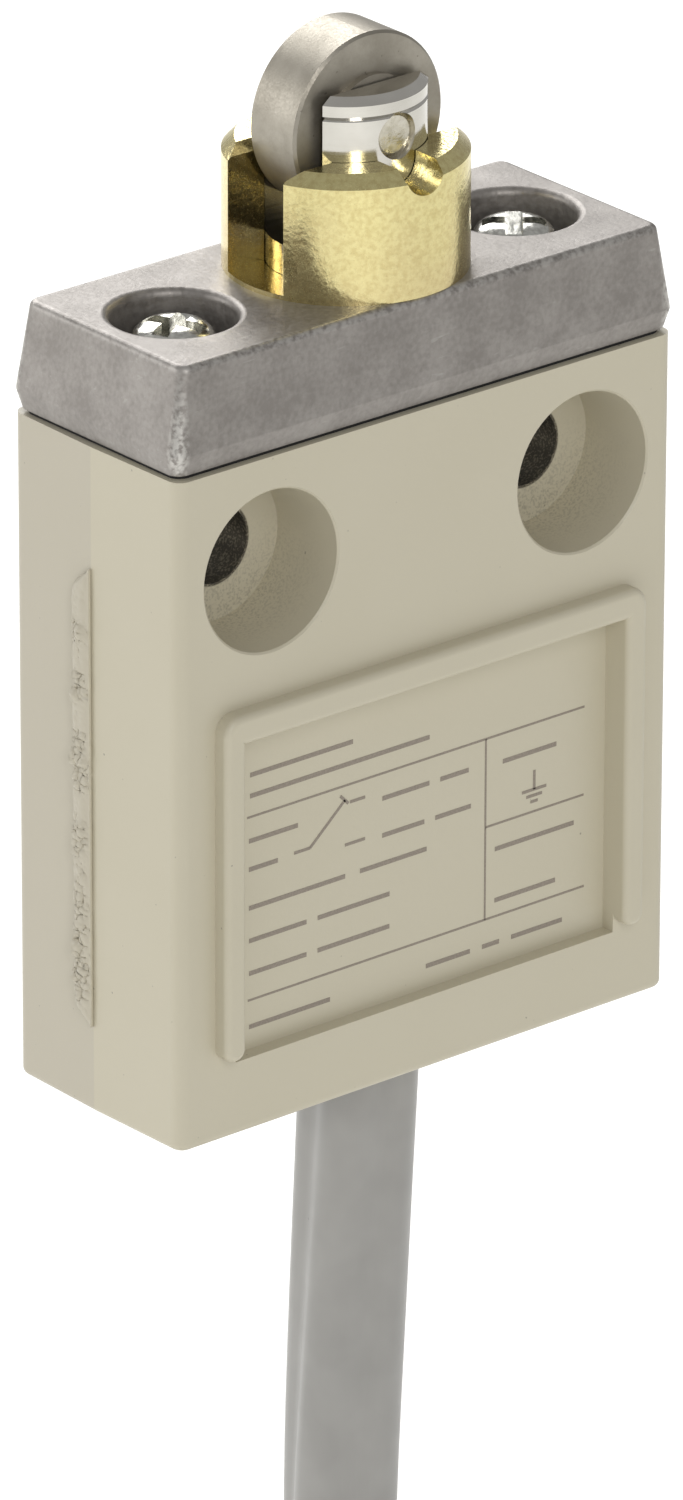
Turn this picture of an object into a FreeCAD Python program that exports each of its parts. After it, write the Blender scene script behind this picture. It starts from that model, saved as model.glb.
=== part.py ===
"""Sealed roller-plunger limit switch with a moulded-in cable, one STEP file per piece.

Millimetres. The origin is midway between the two mounting holes, on the rear mounting face.
+X runs to the right, +Z up towards the roller, and the front (label) face looks along -Y.
"""
import FreeCAD
import Part

import math
import os

V = FreeCAD.Vector

# How far a cutting body runs past the surface it opens.
past = 1.0

# ---- case ----
case_width = 40.0
case_top = 7.5
case_bottom = -37.0
case_draft = 0.15
parting_y = -7.8
case_edge_r = 0.9
foot_edge_r = 0.5
hole_pitch = 25.0
hole_r = 2.55
counterbore_r = 5.25
counterbore_floor_r = 5.0
counterbore_depth = 5.5
counterbore_edge = 0.12

# ---- raised label frame and the recessed panel inside it ----
frame_half_width = 17.0
frame_bar = 1.6
frame_top = -8.4
frame_top_bar = 1.95
frame_bottom = -31.4
frame_height = 1.2
frame_corner_r = 1.2
frame_end_r = 0.75
frame_edge_r = 0.45
panel_depth = 1.0
panel_bottom = -32.0

# ---- gate scar on the left side ----
scar_top = -0.6
scar_bottom = -31.0
scar_width = 1.4
scar_height = 0.15

# ---- hollows of the case ----
side_wall = 2.7
back_wall = 2.7
boss_wall = 2.25
guide_bore_r = 4.2
cup_depth = 8.4
seat_lip = 0.7
seat_recess_depth = 1.2

# ---- head cover ----
gasket_thickness = 0.3
gasket_land = 0.95
gasket_inset = 0.25
cover_height = 6.9
cover_band = 1.3
cover_foot_inset = 0.3
cover_top_inset_x = 0.9
cover_top_inset_y = 0.4
cover_corner_r = 0.9
cover_edge_r = 0.45
cover_pocket_depth = 2.2
cover_pocket_play = 0.1

# ---- cover screws, M3 pan head ----
screw_x = 13.6
screw_r = 1.5
screw_head_r = 2.7
screw_head_h = 2.4
screw_head_dome = 1.4
screw_well_depth = 3.0
screw_length = 8.0
screw_well_r = 3.95
screw_well_edge = 0.5
recess_length = 4.2
recess_width = 1.1
recess_depth = 1.5
recess_taper = 0.55
recess_turns = (25.0, 50.0)

# ---- guide sleeve ----
running_clearance = 0.05
sleeve_wall = 2.6
sleeve_neck_wall = 1.55
sleeve_height = 8.3
sleeve_chamfer = 0.8
sleeve_slot = 5.3
sleeve_foot = 0.3
sleeve_slot_corner_r = 0.6
notch_r = 1.5
notch_drop = 0.25

# ---- plunger, pin and roller ----
plunger_r = 5.0
plunger_rise = 4.1
plunger_chamfer = 0.5
plunger_slot = 5.5
plunger_crown = 2.0
plunger_flange_lip = 0.55
plunger_flange_h = 1.8
flange_play = 0.2
plunger_groove_drop = 1.35
plunger_groove = 0.3
plunger_bore_wall = 2.0
pin_rise = 1.3
pin_r = 1.4
pin_recess = 0.45
pin_rim = 0.08
pin_chamfer = 0.2
roller_r = 5.9
roller_width = 4.3
roller_chamfer = 0.18
roller_play = 1.4
hub_r = 3.3
hub_play = 0.15

# ---- seals and springs in the head ----
seal_rise = 1.0
seal_height = 1.6
seal_section = 0.95
cup_wall = 0.35
cup_gap = 0.3
cup_floor = 0.5
soft_gap = 0.3
fit_gap = 0.05
seat_thickness = 0.6
return_wire = 0.55
return_coils = 5
over_wire = 0.35
over_coils = 4
retainer_thickness = 0.5

# ---- pusher between plunger and inner switch ----
pusher_r = 1.2
pusher_head_play = 0.4
pusher_head_h = 1.6
pusher_travel = 1.7
pusher_tip_chamfer = 0.35
guide_drop = 1.6
guide_height = 3.5

# ---- inner basic switch ----
switch_drop = 1.5
switch_height = 15.0
switch_half_width = 13.7
switch_side_gap = 0.4
switch_wall = 1.4
switch_cover = 1.0
button_r = 1.2
button_head_r = 2.0
button_rise = 1.1
button_travel = 1.2
button_reach = 4.8
button_end_r = 0.5
button_collar_drop = 0.6
button_collar_h = 1.0
press_gap = 0.1
switch_seal_r = 3.0
switch_seal_top_r = 2.1
switch_seal_h = 0.8
blade_drop = 6.0
blade_thickness = 0.25
blade_width = 4.0
blade_start = -8.4
blade_end = 10.4
blade_window_start = -5.4
blade_window_end = -2.0
blade_window_width = 2.0
contact_x = 9.5
contact_r = 1.2
contact_opening = 0.6
contact_gap = 0.1
moving_contact_h = 1.2
rivet_r = 0.7
terminal_thickness = 0.6
terminal_width = 4.8
terminal_tail = 3.5
terminal_grip = 1.0
com_gap = 0.1
no_x = 6.3
nc_gap = 1.0
contact_h = 1.2

# ---- wiring and potting ----
potting_drop = 1.5
potting_recess = 0.6
lead_r = 0.9
lead_circle_r = 1.45
lead_gap = 0.15
lead_rise = 2.4
lead_step = 2.0
earth_drop = 0.5
earth_lug = 0.5
earth_screw_r = 1.25
earth_head_r = 2.1
earth_head_h = 1.2
earth_screw_depth = 1.5
earth_slot = 0.6
earth_foot_drop = 1.5
sheet_thickness = 0.25

# ---- cable, 3 m of four-core round cable ----
cable_d = 7.6
cable_potted = 4.0
cable_route = [
    (0.95, -8.75, case_bottom + cable_potted),
    (0.25, -8.3, -53.0),
    (-0.45, -8.05, -73.0),
    (0.3, -7.9, -91.0),
    (8.6, -7.7, -108.0),
    (22.4, -7.6, -119.5),
    (32.55, -7.6, -125.85),
]
coil_x = 7.3
coil_y = -19.0
coil_z = -166.2
coil_columns = 4
coil_layers = 3
coil_mid_r = 41.0
layer_pitch = cable_d * math.sin(math.radians(60))
tail_route = [
    (coil_x + 29.8, -30.4, coil_z + 17.2),
    (coil_x + 34.6, -34.2, coil_z + 1.5),
    (coil_x + 35.9, -38.2, coil_z - 15.0),
    (coil_x + 35.3, -39.1, coil_z - 32.0),
    (coil_x + 34.9, -38.9, coil_z - 48.0),
]
tie_width = 8.0
tie_thickness = 1.2
tie_angles = (38.0, 218.0)
core_r = 1.05
core_circle_r = 1.5
core_lengths = (30.0, 26.0, 33.0, 28.0)
core_spread = (2.2, 3.4, 2.8, 4.0)
core_knee_at = 0.4
core_knee_spread = 0.25
strand_r = 0.55
strand_length = 6.0

# ---- places that follow from the sizes above ----
plunger_flange_r = plunger_r + plunger_flange_lip
cup_r = plunger_flange_r + cup_gap + cup_wall
neck_r = cup_r + fit_gap
seat_recess_r = neck_r + seat_lip
cover_pocket_r = seat_recess_r + cover_pocket_play

case_depth = 2 * (cover_pocket_r + gasket_land)
axis_y = -case_depth / 2
front_y = -case_depth
panel_y = front_y + panel_depth
plunger_axis = V(0, axis_y, 0)
chamber_half_width = case_width / 2 - side_wall
chamber_half_depth = case_depth / 2 - back_wall
chamber_top = -counterbore_r - boss_wall
ledge_z = case_top - cup_depth
seat_recess_z = case_top - seat_recess_depth

cover_bottom = case_top + gasket_thickness
cover_top = cover_bottom + cover_height
cover_pocket_top = cover_bottom + cover_pocket_depth
screw_seat = cover_top - screw_well_depth
screw_tip = screw_seat - screw_length

bore_r = plunger_r + running_clearance
sleeve_r = bore_r + sleeve_wall
sleeve_neck_r = bore_r + sleeve_neck_wall
sleeve_top = cover_top + sleeve_height
sleeve_slot_floor = cover_top + sleeve_foot
notch_z = sleeve_top - notch_drop
seal_bottom = cover_pocket_top + seal_rise
seal_outer_r = bore_r + seal_section

plunger_flange_top = cover_pocket_top - flange_play
plunger_bottom = plunger_flange_top - plunger_flange_h
plunger_top = sleeve_top + plunger_rise
pin_z = sleeve_top + pin_rise
plunger_slot_floor = pin_z - roller_r - roller_play
plunger_bore_top = plunger_slot_floor - plunger_crown
plunger_bore_r = plunger_r - plunger_bore_wall
pusher_head_r = plunger_bore_r - pusher_head_play
plunger_groove_z = plunger_top - plunger_groove_drop

cup_top = ledge_z + cup_floor
seat_top = cup_top + seat_thickness

switch_half_depth = chamber_half_depth - switch_side_gap
switch_top = chamber_top - switch_drop
switch_bottom = switch_top - switch_height
cover_y = axis_y - switch_half_depth + switch_cover
inner_top = switch_top - switch_wall
inner_bottom = switch_bottom + switch_wall
inner_half = switch_half_width - switch_wall
switch_back = axis_y + switch_half_depth
button_top = switch_top + button_rise
button_bottom = switch_top - button_reach
blade_z = switch_top - blade_drop
nc_arm_z = blade_z + moving_contact_h / 2 + contact_gap + contact_h + terminal_thickness
no_arm_z = blade_z - moving_contact_h / 2 - contact_opening - contact_gap - contact_h / 2
com_x = blade_start - com_gap - terminal_thickness / 2
nc_x = contact_x + contact_r + nc_gap - terminal_thickness / 2
terminal_end = switch_bottom - terminal_tail

head_bottom = plunger_bottom + retainer_thickness + press_gap
pusher_head_top = head_bottom + pusher_head_h
pusher_bottom = button_top + (pusher_travel - button_travel) + press_gap
guide_top = ledge_z - guide_drop

potting_top = switch_bottom - potting_drop
lead_high_z = terminal_end - lead_rise
lead_low_z = lead_high_z - lead_step
earth_x = -chamber_half_width
earth_z = switch_bottom - earth_drop
earth_foot_z = earth_z - earth_head_r - earth_foot_drop

coil_half_width = coil_columns * cable_d / 2
coil_half_height = ((coil_layers - 1) * layer_pitch + cable_d) / 2


def box(x0, x1, y0, y1, z0, z1):
    return Part.makeBox(x1 - x0, y1 - y0, z1 - z0, V(x0, y0, z0))


def rod(r, z0, z1, x=0.0, y=axis_y):
    return Part.makeCylinder(r, z1 - z0, V(x, y, z0))


def rod_y(r, y0, y1, x, z):
    return Part.makeCylinder(r, y1 - y0, V(x, y0, z), V(0, 1, 0))


def rod_x(r, x0, x1, y, z):
    return Part.makeCylinder(r, x1 - x0, V(x0, y, z), V(1, 0, 0))


def cone(r0, r1, z0, z1, x=0.0, y=axis_y):
    return Part.makeCone(r0, r1, z1 - z0, V(x, y, z0))


def cone_y(r0, r1, y0, y1, x, z):
    return Part.makeCone(r0, r1, y1 - y0, V(x, y0, z), V(0, 1, 0))


def ring(r_out, r_in, z0, z1, x=0.0, y=axis_y):
    return rod(r_out, z0, z1, x, y).cut(rod(r_in, z0, z1, x, y))


def prism(points, direction):
    """A closed outline pushed along a direction."""
    outline = Part.makePolygon([V(*p) for p in points + points[:1]])
    return Part.Face(outline).extrude(V(*direction))


def turned(points):
    """A closed (radius, z) outline turned about the plunger axis."""
    outline = Part.makePolygon([V(r, axis_y, z) for r, z in points + points[:1]])
    return Part.Face(outline).revolve(plunger_axis, V(0, 0, 1), 360)


def edges_where(shape, test):
    """Straight edges whose two ends both pass the test."""
    found = []
    for edge in shape.Edges:
        ends = [v.Point for v in edge.Vertexes]
        if len(ends) == 2 and all(test(p) for p in ends):
            found.append(edge)
    return found


def near(a, b):
    return abs(a - b) < 0.01


def upright_edges(shape):
    """Edges that run mostly up and down."""
    found = []
    for edge in shape.Edges:
        ends = [v.Point for v in edge.Vertexes]
        if len(ends) == 2 and abs(ends[0].z - ends[1].z) > 0.6 * edge.Length:
            found.append(edge)
    return found


def save(name, shape):
    shape = shape.removeSplitter()
    shape.exportStep(f"parts/{name}.step")
    print(f"{name:20s} solids {len(shape.Solids)} valid {shape.isValid()} volume {shape.Volume:.1f}")
    return shape


# ---- case -------------------------------------------------------------------------------------

def case_outline():
    half = case_width / 2
    slim = half - case_draft
    return [
        (-slim, front_y, case_bottom), (slim, front_y, case_bottom), (half, parting_y, case_bottom),
        (slim, 0, case_bottom), (-slim, 0, case_bottom), (-half, parting_y, case_bottom),
    ]


def case_block():
    block = prism(case_outline(), (0, 0, case_top - case_bottom))
    corners = edges_where(block, lambda p: near(p.y, 0) or near(p.y, front_y))
    corners = [e for e in corners if near(e.Vertexes[0].X, e.Vertexes[1].X)
               and near(e.Vertexes[0].Y, e.Vertexes[1].Y)]
    block = block.makeFillet(case_edge_r, corners)
    foot = [e for e in block.Edges if near(e.BoundBox.ZMax, case_bottom)]
    return block.makeFillet(foot_edge_r, foot)


def label_frame():
    """An arch of square bar, open at the bottom, standing proud of the front face."""
    outer = frame_half_width
    inner = outer - frame_bar
    y0 = front_y - frame_height
    arch = box(-outer, outer, y0, panel_y, frame_bottom, frame_top)
    arch = arch.cut(box(-inner, inner, y0 - past, panel_y + past, frame_bottom - past,
                        frame_top - frame_top_bar))
    feet = [e for e in arch.Edges if near(e.BoundBox.ZMax, frame_bottom) and near(e.BoundBox.XLength, 0)]
    arch = arch.makeFillet(frame_end_r, feet)
    corners = [e for e in edges_where(arch, lambda p: near(p.z, frame_top))
               if near(abs(e.Vertexes[0].X), outer) and near(e.Vertexes[0].X, e.Vertexes[1].X)]
    arch = arch.makeFillet(frame_corner_r, corners)
    rim = [e for e in arch.Edges if near(e.BoundBox.YMax, y0)]
    return arch.makeFillet(frame_edge_r, rim)


def panel_recess():
    inner = frame_half_width - frame_bar
    return box(-inner, inner, front_y - past, panel_y, panel_bottom, frame_top - frame_top_bar)


def gate_scar():
    """A long lens-shaped pad left where the casting gate was broken off."""
    x = -case_width / 2 - scar_height
    middle = (scar_top + scar_bottom) / 2
    nose = scar_width
    outline = [
        (x, parting_y, scar_top), (x, parting_y + scar_width, scar_top - nose),
        (x, parting_y + scar_width, middle), (x, parting_y + scar_width, scar_bottom + nose),
        (x, parting_y, scar_bottom),
    ]
    return prism(outline, (scar_height + past, 0, 0))


def mounting_hole(x):
    depth = front_y + counterbore_depth
    well = cone_y(counterbore_r, counterbore_floor_r, front_y, depth, x, 0)
    edge = cone_y(counterbore_r + counterbore_edge, counterbore_r, front_y, front_y + counterbore_edge, x, 0)
    return well.fuse(edge).fuse(rod_y(hole_r, front_y, 0, x, 0))


def case_hollow():
    chamber = box(-chamber_half_width, chamber_half_width, axis_y - chamber_half_depth,
                  axis_y + chamber_half_depth, case_bottom, chamber_top)
    neck = rod(guide_bore_r, chamber_top, case_top).fuse(rod(neck_r, ledge_z, case_top))
    return chamber.fuse(neck).fuse(rod(seat_recess_r, seat_recess_z, case_top))


def case():
    body = case_block().fuse(gate_scar())
    body = body.cut(panel_recess()).fuse(label_frame())
    body = body.cut(case_hollow())
    for side in (-1, 1):
        body = body.cut(mounting_hole(side * hole_pitch / 2))
        body = body.cut(rod(screw_r, screw_tip, case_top, side * screw_x))
    body = body.cut(rod_x(earth_screw_r, earth_x - earth_screw_depth, earth_x, axis_y, earth_z))
    return body


# ---- head cover -------------------------------------------------------------------------------

def hexahedron(low, high):
    """A block between two rectangles, each (half x, half y, z), about the plunger axis."""
    corners = []
    for hx, hy, z in (low, high):
        corners.append([V(sx * hx, axis_y + sy * hy, z) for sx, sy in ((-1, -1), (1, -1), (1, 1), (-1, 1))])
    bottom, top = corners
    faces = [Part.Face(Part.makePolygon(ring_ + ring_[:1])) for ring_ in (bottom, top)]
    for i in range(4):
        j = (i + 1) % 4
        faces.append(Part.Face(Part.makePolygon([bottom[i], bottom[j], top[j], top[i], bottom[i]])))
    return Part.Solid(Part.Shell(faces))


def cover_block():
    half_x = case_width / 2
    half_y = case_depth / 2
    band_z = cover_bottom + cover_band
    foot = hexahedron((half_x - cover_foot_inset, half_y - cover_foot_inset, cover_bottom),
                      (half_x, half_y, band_z))
    body = hexahedron((half_x, half_y, band_z),
                      (half_x - cover_top_inset_x, half_y - cover_top_inset_y, cover_top))
    block = foot.fuse(body)
    block = block.makeFillet(cover_corner_r, upright_edges(block))
    rim = [e for e in block.Edges if near(e.BoundBox.ZMin, cover_top)]
    return block.makeFillet(cover_edge_r, rim)


def screw_well(x):
    well = rod(screw_well_r, screw_seat, cover_top, x)
    top = cover_top - screw_well_edge
    lip = Part.makePolygon([
        V(x, axis_y, top), V(x + screw_well_r, axis_y, top)])
    corner = V(x + screw_well_r, axis_y, top)
    crown = V(x + screw_well_r + screw_well_edge, axis_y, cover_top)
    turn = math.radians(45)
    mid = V(corner.x + screw_well_edge * (1 - math.cos(turn)), axis_y,
            top + screw_well_edge * math.sin(turn))
    arc = Part.Arc(corner, mid, crown).toShape()
    rest = Part.makePolygon([crown, V(x, axis_y, cover_top), V(x, axis_y, top)])
    outline = Part.Wire(lip.Edges + [arc] + rest.Edges)
    flare = Part.Face(outline).revolve(V(x, axis_y, 0), V(0, 0, 1), 360)
    return well.fuse(flare).fuse(rod(screw_r, cover_bottom, screw_seat, x))


def head_cover():
    body = cover_block()
    body = body.cut(rod(sleeve_neck_r, cover_bottom, cover_top))
    body = body.cut(rod(cover_pocket_r, cover_bottom, cover_pocket_top))
    for side in (-1, 1):
        body = body.cut(screw_well(side * screw_x))
    return body


def cover_gasket():
    half_x = case_width / 2 - gasket_inset - cover_foot_inset
    half_y = case_depth / 2 - gasket_inset - cover_foot_inset
    sheet = box(-half_x, half_x, axis_y - half_y, axis_y + half_y, case_top, cover_bottom)
    sheet = sheet.makeFillet(cover_corner_r, upright_edges(sheet))
    sheet = sheet.cut(rod(cover_pocket_r, case_top, cover_bottom))
    for side in (-1, 1):
        sheet = sheet.cut(rod(screw_r, case_top, cover_bottom, side * screw_x))
    return sheet


def cross_recess(x, top):
    """Two crossed slots that taper towards the bottom."""
    slots = []
    for along in (0, 90):
        half = recess_length / 2
        foot = half - recess_depth * recess_taper
        side_y = axis_y - recess_width / 2
        outline = [
            (x - half, side_y, top + past), (x + half, side_y, top + past), (x + half, side_y, top),
            (x + foot, side_y, top - recess_depth), (x - foot, side_y, top - recess_depth),
            (x - half, side_y, top),
        ]
        blade = prism(outline, (0, recess_width, 0))
        blade.rotate(V(x, axis_y, 0), V(0, 0, 1), along)
        slots.append(blade)
    return slots[0].fuse(slots[1])


def cover_screw(x, turn):
    """Pan head with a domed top and a cross recess, left at its own angle."""
    top = screw_seat + screw_head_h
    head = rod(screw_head_r, screw_seat, top, x)
    dome = [e for e in head.Edges if near(e.BoundBox.ZMin, top)]
    head = head.makeFillet(screw_head_dome, dome)
    shank = rod(screw_r, screw_tip, screw_seat, x)
    screw = head.fuse(shank).cut(cross_recess(x, top))
    screw.rotate(V(x, axis_y, 0), V(0, 0, 1), turn)
    return screw


def cover_screws():
    return Part.makeCompound([cover_screw(side * screw_x, turn) for side, turn in zip((-1, 1), recess_turns)])


# ---- guide sleeve and its seal ----------------------------------------------------------------

def guide_sleeve():
    body = turned([
        (bore_r, cover_pocket_top), (sleeve_neck_r, cover_pocket_top), (sleeve_neck_r, cover_top),
        (sleeve_r, cover_top), (sleeve_r, sleeve_top - sleeve_chamfer),
        (sleeve_r - sleeve_chamfer, sleeve_top), (bore_r, sleeve_top),
    ])
    end = sleeve_r + past
    half = sleeve_slot / 2
    slot = box(-end, end, axis_y - half, axis_y + half, sleeve_slot_floor, sleeve_top + past)
    wide = half + sleeve_slot_corner_r
    flare_z = sleeve_top - sleeve_slot_corner_r
    flare = prism([
        (-end, axis_y - wide, sleeve_top), (-end, axis_y + wide, sleeve_top),
        (-end, axis_y + half, flare_z), (-end, axis_y - half, flare_z)], (2 * end, 0, 0))
    body = body.cut(slot).cut(flare)
    body = body.cut(rod_y(notch_r, axis_y - end, axis_y + end, 0, notch_z))
    groove = ring(seal_outer_r, plunger_r, seal_bottom, seal_bottom + seal_height)
    return body.cut(groove)


def plunger_seal():
    """Rubber ring in the sleeve's groove, grooved between its two lips."""
    top = seal_bottom + seal_height
    body = ring(seal_outer_r, bore_r, seal_bottom, top)
    lip = seal_height / 4
    return body.cut(ring(bore_r + lip, plunger_r, seal_bottom + lip, top - lip))


# ---- plunger group ----------------------------------------------------------------------------

def plunger():
    chamfer_z = plunger_top - plunger_chamfer
    groove_low = plunger_groove_z - plunger_groove / 2
    groove_high = plunger_groove_z + plunger_groove / 2
    body = turned([
        (plunger_bore_r, plunger_bottom), (plunger_flange_r, plunger_bottom),
        (plunger_flange_r, plunger_flange_top), (plunger_r, plunger_flange_top), (plunger_r, groove_low),
        (plunger_r - plunger_groove / 2, plunger_groove_z), (plunger_r, groove_high),
        (plunger_r, chamfer_z), (plunger_r - plunger_chamfer, plunger_top), (0, plunger_top),
        (0, plunger_bore_top), (plunger_bore_r, plunger_bore_top),
    ])
    half = plunger_slot / 2
    end = plunger_r + past
    body = body.cut(box(-end, end, axis_y - half, axis_y + half, plunger_slot_floor, plunger_top + past))
    body = body.cut(rod_y(pin_r, axis_y - end, axis_y + end, 0, pin_z))
    for side in (-1, 1):
        mouth = cone_y(pin_r + pin_rim, pin_r, 0, pin_rim + pin_recess, 0, 0)
        if side > 0:
            mouth.rotate(V(0, 0, 0), V(0, 0, 1), 180)
        mouth.translate(V(0, axis_y + side * plunger_r, pin_z))
        body = body.cut(mouth)
    return body


def roller_pin():
    end = plunger_r - pin_recess
    pin = rod_y(pin_r, axis_y - end, axis_y + end, 0, pin_z)
    return pin.makeChamfer(pin_chamfer, [e for e in pin.Edges if near(e.BoundBox.YMin, e.BoundBox.YMax)])


def roller():
    half = roller_width / 2
    disc = rod_y(roller_r, axis_y - half, axis_y + half, 0, pin_z)
    disc = disc.makeChamfer(roller_chamfer, [e for e in disc.Edges if near(e.BoundBox.YMin, e.BoundBox.YMax)])
    hub = plunger_slot / 2 - hub_play
    body = disc.fuse(rod_y(hub_r, axis_y - hub, axis_y + hub, 0, pin_z))
    return body.cut(rod_y(pin_r + running_clearance, axis_y - hub, axis_y + hub, 0, pin_z))


def pusher_retainer():
    """Washer pressed into the plunger's bore, which keeps the pusher's head in."""
    return ring(plunger_bore_r, pusher_r + soft_gap, plunger_bottom, plunger_bottom + retainer_thickness)


def spring(mean_r, wire, coils, z0, z1):
    """Compression spring with the wire's centre running from end to end."""
    low = z0 + wire / 2
    high = z1 - wire / 2
    helix = Part.makeHelix((high - low) / coils, high - low, mean_r)
    profile = Part.Wire(Part.makeCircle(wire / 2, V(mean_r, 0, 0), V(0, 1, 0)))
    body = Part.Wire(helix.Edges).makePipeShell([profile], True, True)
    body.translate(V(0, axis_y, low))
    return body


def diaphragm():
    """Rubber cup clamped under the cover, with the pusher through its floor."""
    flange = ring(seat_recess_r - fit_gap, cup_r - cup_wall, seat_recess_z, cover_bottom)
    wall = ring(cup_r, cup_r - cup_wall, ledge_z, cover_bottom)
    floor = ring(cup_r, pusher_r + soft_gap, ledge_z, cup_top)
    return flange.fuse(wall).fuse(floor)


def spring_seat():
    return ring(cup_r - cup_wall - fit_gap, pusher_r + soft_gap, cup_top, seat_top)


def return_spring():
    mean_r = (plunger_flange_r + plunger_bore_r) / 2
    return spring(mean_r, return_wire, return_coils, seat_top, plunger_bottom)


def overtravel_spring():
    return spring(plunger_bore_r - soft_gap - over_wire, over_wire, over_coils, pusher_head_top,
                  plunger_bore_top)


def pusher():
    stem = rod(pusher_r, pusher_bottom, head_bottom)
    head = rod(pusher_head_r, head_bottom, pusher_head_top)
    tip = [e for e in stem.Edges if near(e.BoundBox.ZMax, pusher_bottom)]
    return stem.makeChamfer(pusher_tip_chamfer, tip).fuse(head)


def pusher_guide():
    return ring(guide_bore_r - fit_gap, pusher_r + running_clearance, guide_top - guide_height, guide_top)


# ---- inner basic switch -----------------------------------------------------------------------

def terminal_com():
    half = terminal_width / 2
    thick = terminal_thickness / 2
    return box(com_x - thick, com_x + thick, axis_y - half, axis_y + half,
               terminal_end, blade_z + terminal_grip)


def terminal_no():
    half = terminal_width / 2
    thick = terminal_thickness / 2
    post = box(no_x - thick, no_x + thick, axis_y - half, axis_y + half, terminal_end, no_arm_z)
    arm = box(no_x - thick, contact_x + contact_r, axis_y - half, axis_y + half,
              no_arm_z - terminal_thickness, no_arm_z)
    return post.fuse(arm)


def terminal_nc():
    half = terminal_width / 2
    thick = terminal_thickness / 2
    post = box(nc_x - thick, nc_x + thick, axis_y - half, axis_y + half, terminal_end, nc_arm_z)
    arm = box(contact_x - contact_r, nc_x + thick, axis_y - half, axis_y + half,
              nc_arm_z - terminal_thickness, nc_arm_z)
    return post.fuse(arm)


def terminals():
    return [terminal_com(), terminal_no(), terminal_nc()]


def switch_base():
    shell = box(-switch_half_width, switch_half_width, cover_y, switch_back, switch_bottom, switch_top)
    shell = shell.cut(box(-inner_half, inner_half, cover_y, switch_back - switch_wall,
                          inner_bottom, inner_top))
    shell = shell.cut(rod(button_r + fit_gap, inner_top, switch_top))
    for terminal in terminals():
        shell = shell.cut(terminal)
    return shell


def switch_cover_plate():
    return box(-switch_half_width, switch_half_width, cover_y - switch_cover, cover_y,
               switch_bottom, switch_top)


def switch_seal():
    """Rubber cap ring on the inner switch, round its button."""
    return cone(switch_seal_r, switch_seal_top_r, switch_top, switch_top + switch_seal_h).cut(
        rod(button_r + soft_gap, switch_top, switch_top + switch_seal_h))


def switch_button():
    stem = rod(button_r, button_bottom, button_top)
    collar_top = inner_top - button_collar_drop
    collar = rod(button_head_r, collar_top - button_collar_h, collar_top)
    ends = [e for e in stem.Edges if near(e.BoundBox.ZMin, e.BoundBox.ZMax)]
    return stem.makeFillet(button_end_r, ends).fuse(collar)


def snap_blade():
    half = blade_width / 2
    body = box(blade_start, blade_end, axis_y - half, axis_y + half,
               blade_z - blade_thickness / 2, blade_z + blade_thickness / 2)
    reach = blade_window_width / 2
    window = box(blade_window_start, blade_window_end, axis_y - reach, axis_y + reach,
                 blade_z - past, blade_z + past)
    return body.cut(window).cut(rod(rivet_r, blade_z - past, blade_z + past, contact_x))


def moving_contact():
    """Rivet through the blade's end, with a button on each side."""
    half = moving_contact_h / 2
    leaf = blade_thickness / 2
    above = rod(contact_r, blade_z + leaf, blade_z + half, contact_x)
    below = rod(contact_r, blade_z - half, blade_z - leaf, contact_x)
    return above.fuse(below).fuse(rod(rivet_r, blade_z - half, blade_z + half, contact_x))


def contact_nc():
    low = blade_z + moving_contact_h / 2 + contact_gap
    return rod(contact_r, low, nc_arm_z - terminal_thickness, contact_x)


def contact_no():
    high = blade_z - moving_contact_h / 2 - contact_opening - contact_gap
    return rod(contact_r, no_arm_z, high, contact_x)


# ---- wiring, earth and potting ----------------------------------------------------------------

def core_place(index):
    """Where a core leaves the cable's end: four cores on a circle."""
    angle = math.radians(45 + 90 * index)
    x, y, z = cable_route[0]
    return V(x + lead_circle_r * math.cos(angle), y + lead_circle_r * math.sin(angle), z + lead_gap)


def wire_run(points, r):
    """A round wire along straight runs, with a ball at each bend."""
    body = None
    for a, b in zip(points, points[1:]):
        run = Part.makeCylinder(r, (b - a).Length, a, b - a)
        body = run if body is None else body.fuse(run)
    for bend in points[1:-1]:
        body = body.fuse(Part.makeSphere(r, bend))
    return body


def lead(index, level, end):
    """Up out of the jacket, across the resin at its own level and up to its terminal."""
    start = core_place(index)
    across = V(start.x, start.y, level)
    below = V(end.x, end.y, level)
    return wire_run([start, across, below, end], lead_r)


def leads():
    earth_end = V(earth_x + earth_lug + lead_r, axis_y, earth_foot_z)
    return {
        "lead_white": lead(0, lead_high_z, V(no_x, axis_y, terminal_end)),
        "lead_black": lead(1, lead_high_z, V(com_x, axis_y, terminal_end)),
        "lead_earth": lead(2, lead_low_z, earth_end),
        "lead_red": lead(3, lead_low_z, V(nc_x, axis_y, terminal_end)),
    }


def earth_terminal():
    """Flat lug against the case's wall, with a hooked foot over its lead."""
    half = earth_head_r
    lug = box(earth_x, earth_x + earth_lug, axis_y - half, axis_y + half, earth_foot_z, earth_z + half)
    foot = box(earth_x, earth_x + earth_lug + 2 * lead_r, axis_y - lead_r, axis_y + lead_r,
               earth_foot_z, earth_foot_z + earth_lug)
    return lug.fuse(foot).cut(rod_x(earth_screw_r, earth_x, earth_x + earth_lug, axis_y, earth_z))


def earth_screw():
    face = earth_x + earth_lug
    shank = rod_x(earth_screw_r, earth_x - earth_screw_depth, face, axis_y, earth_z)
    head = rod_x(earth_head_r, face, face + earth_head_h, axis_y, earth_z)
    slot = box(face + earth_head_h / 2, face + earth_head_h, axis_y - earth_head_r, axis_y + earth_head_r,
               earth_z - earth_slot / 2, earth_z + earth_slot / 2)
    return shank.fuse(head).cut(slot)


def insulating_sheet():
    return box(-switch_half_width, switch_half_width, switch_back, switch_back + sheet_thickness,
               potting_top, switch_top)


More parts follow.
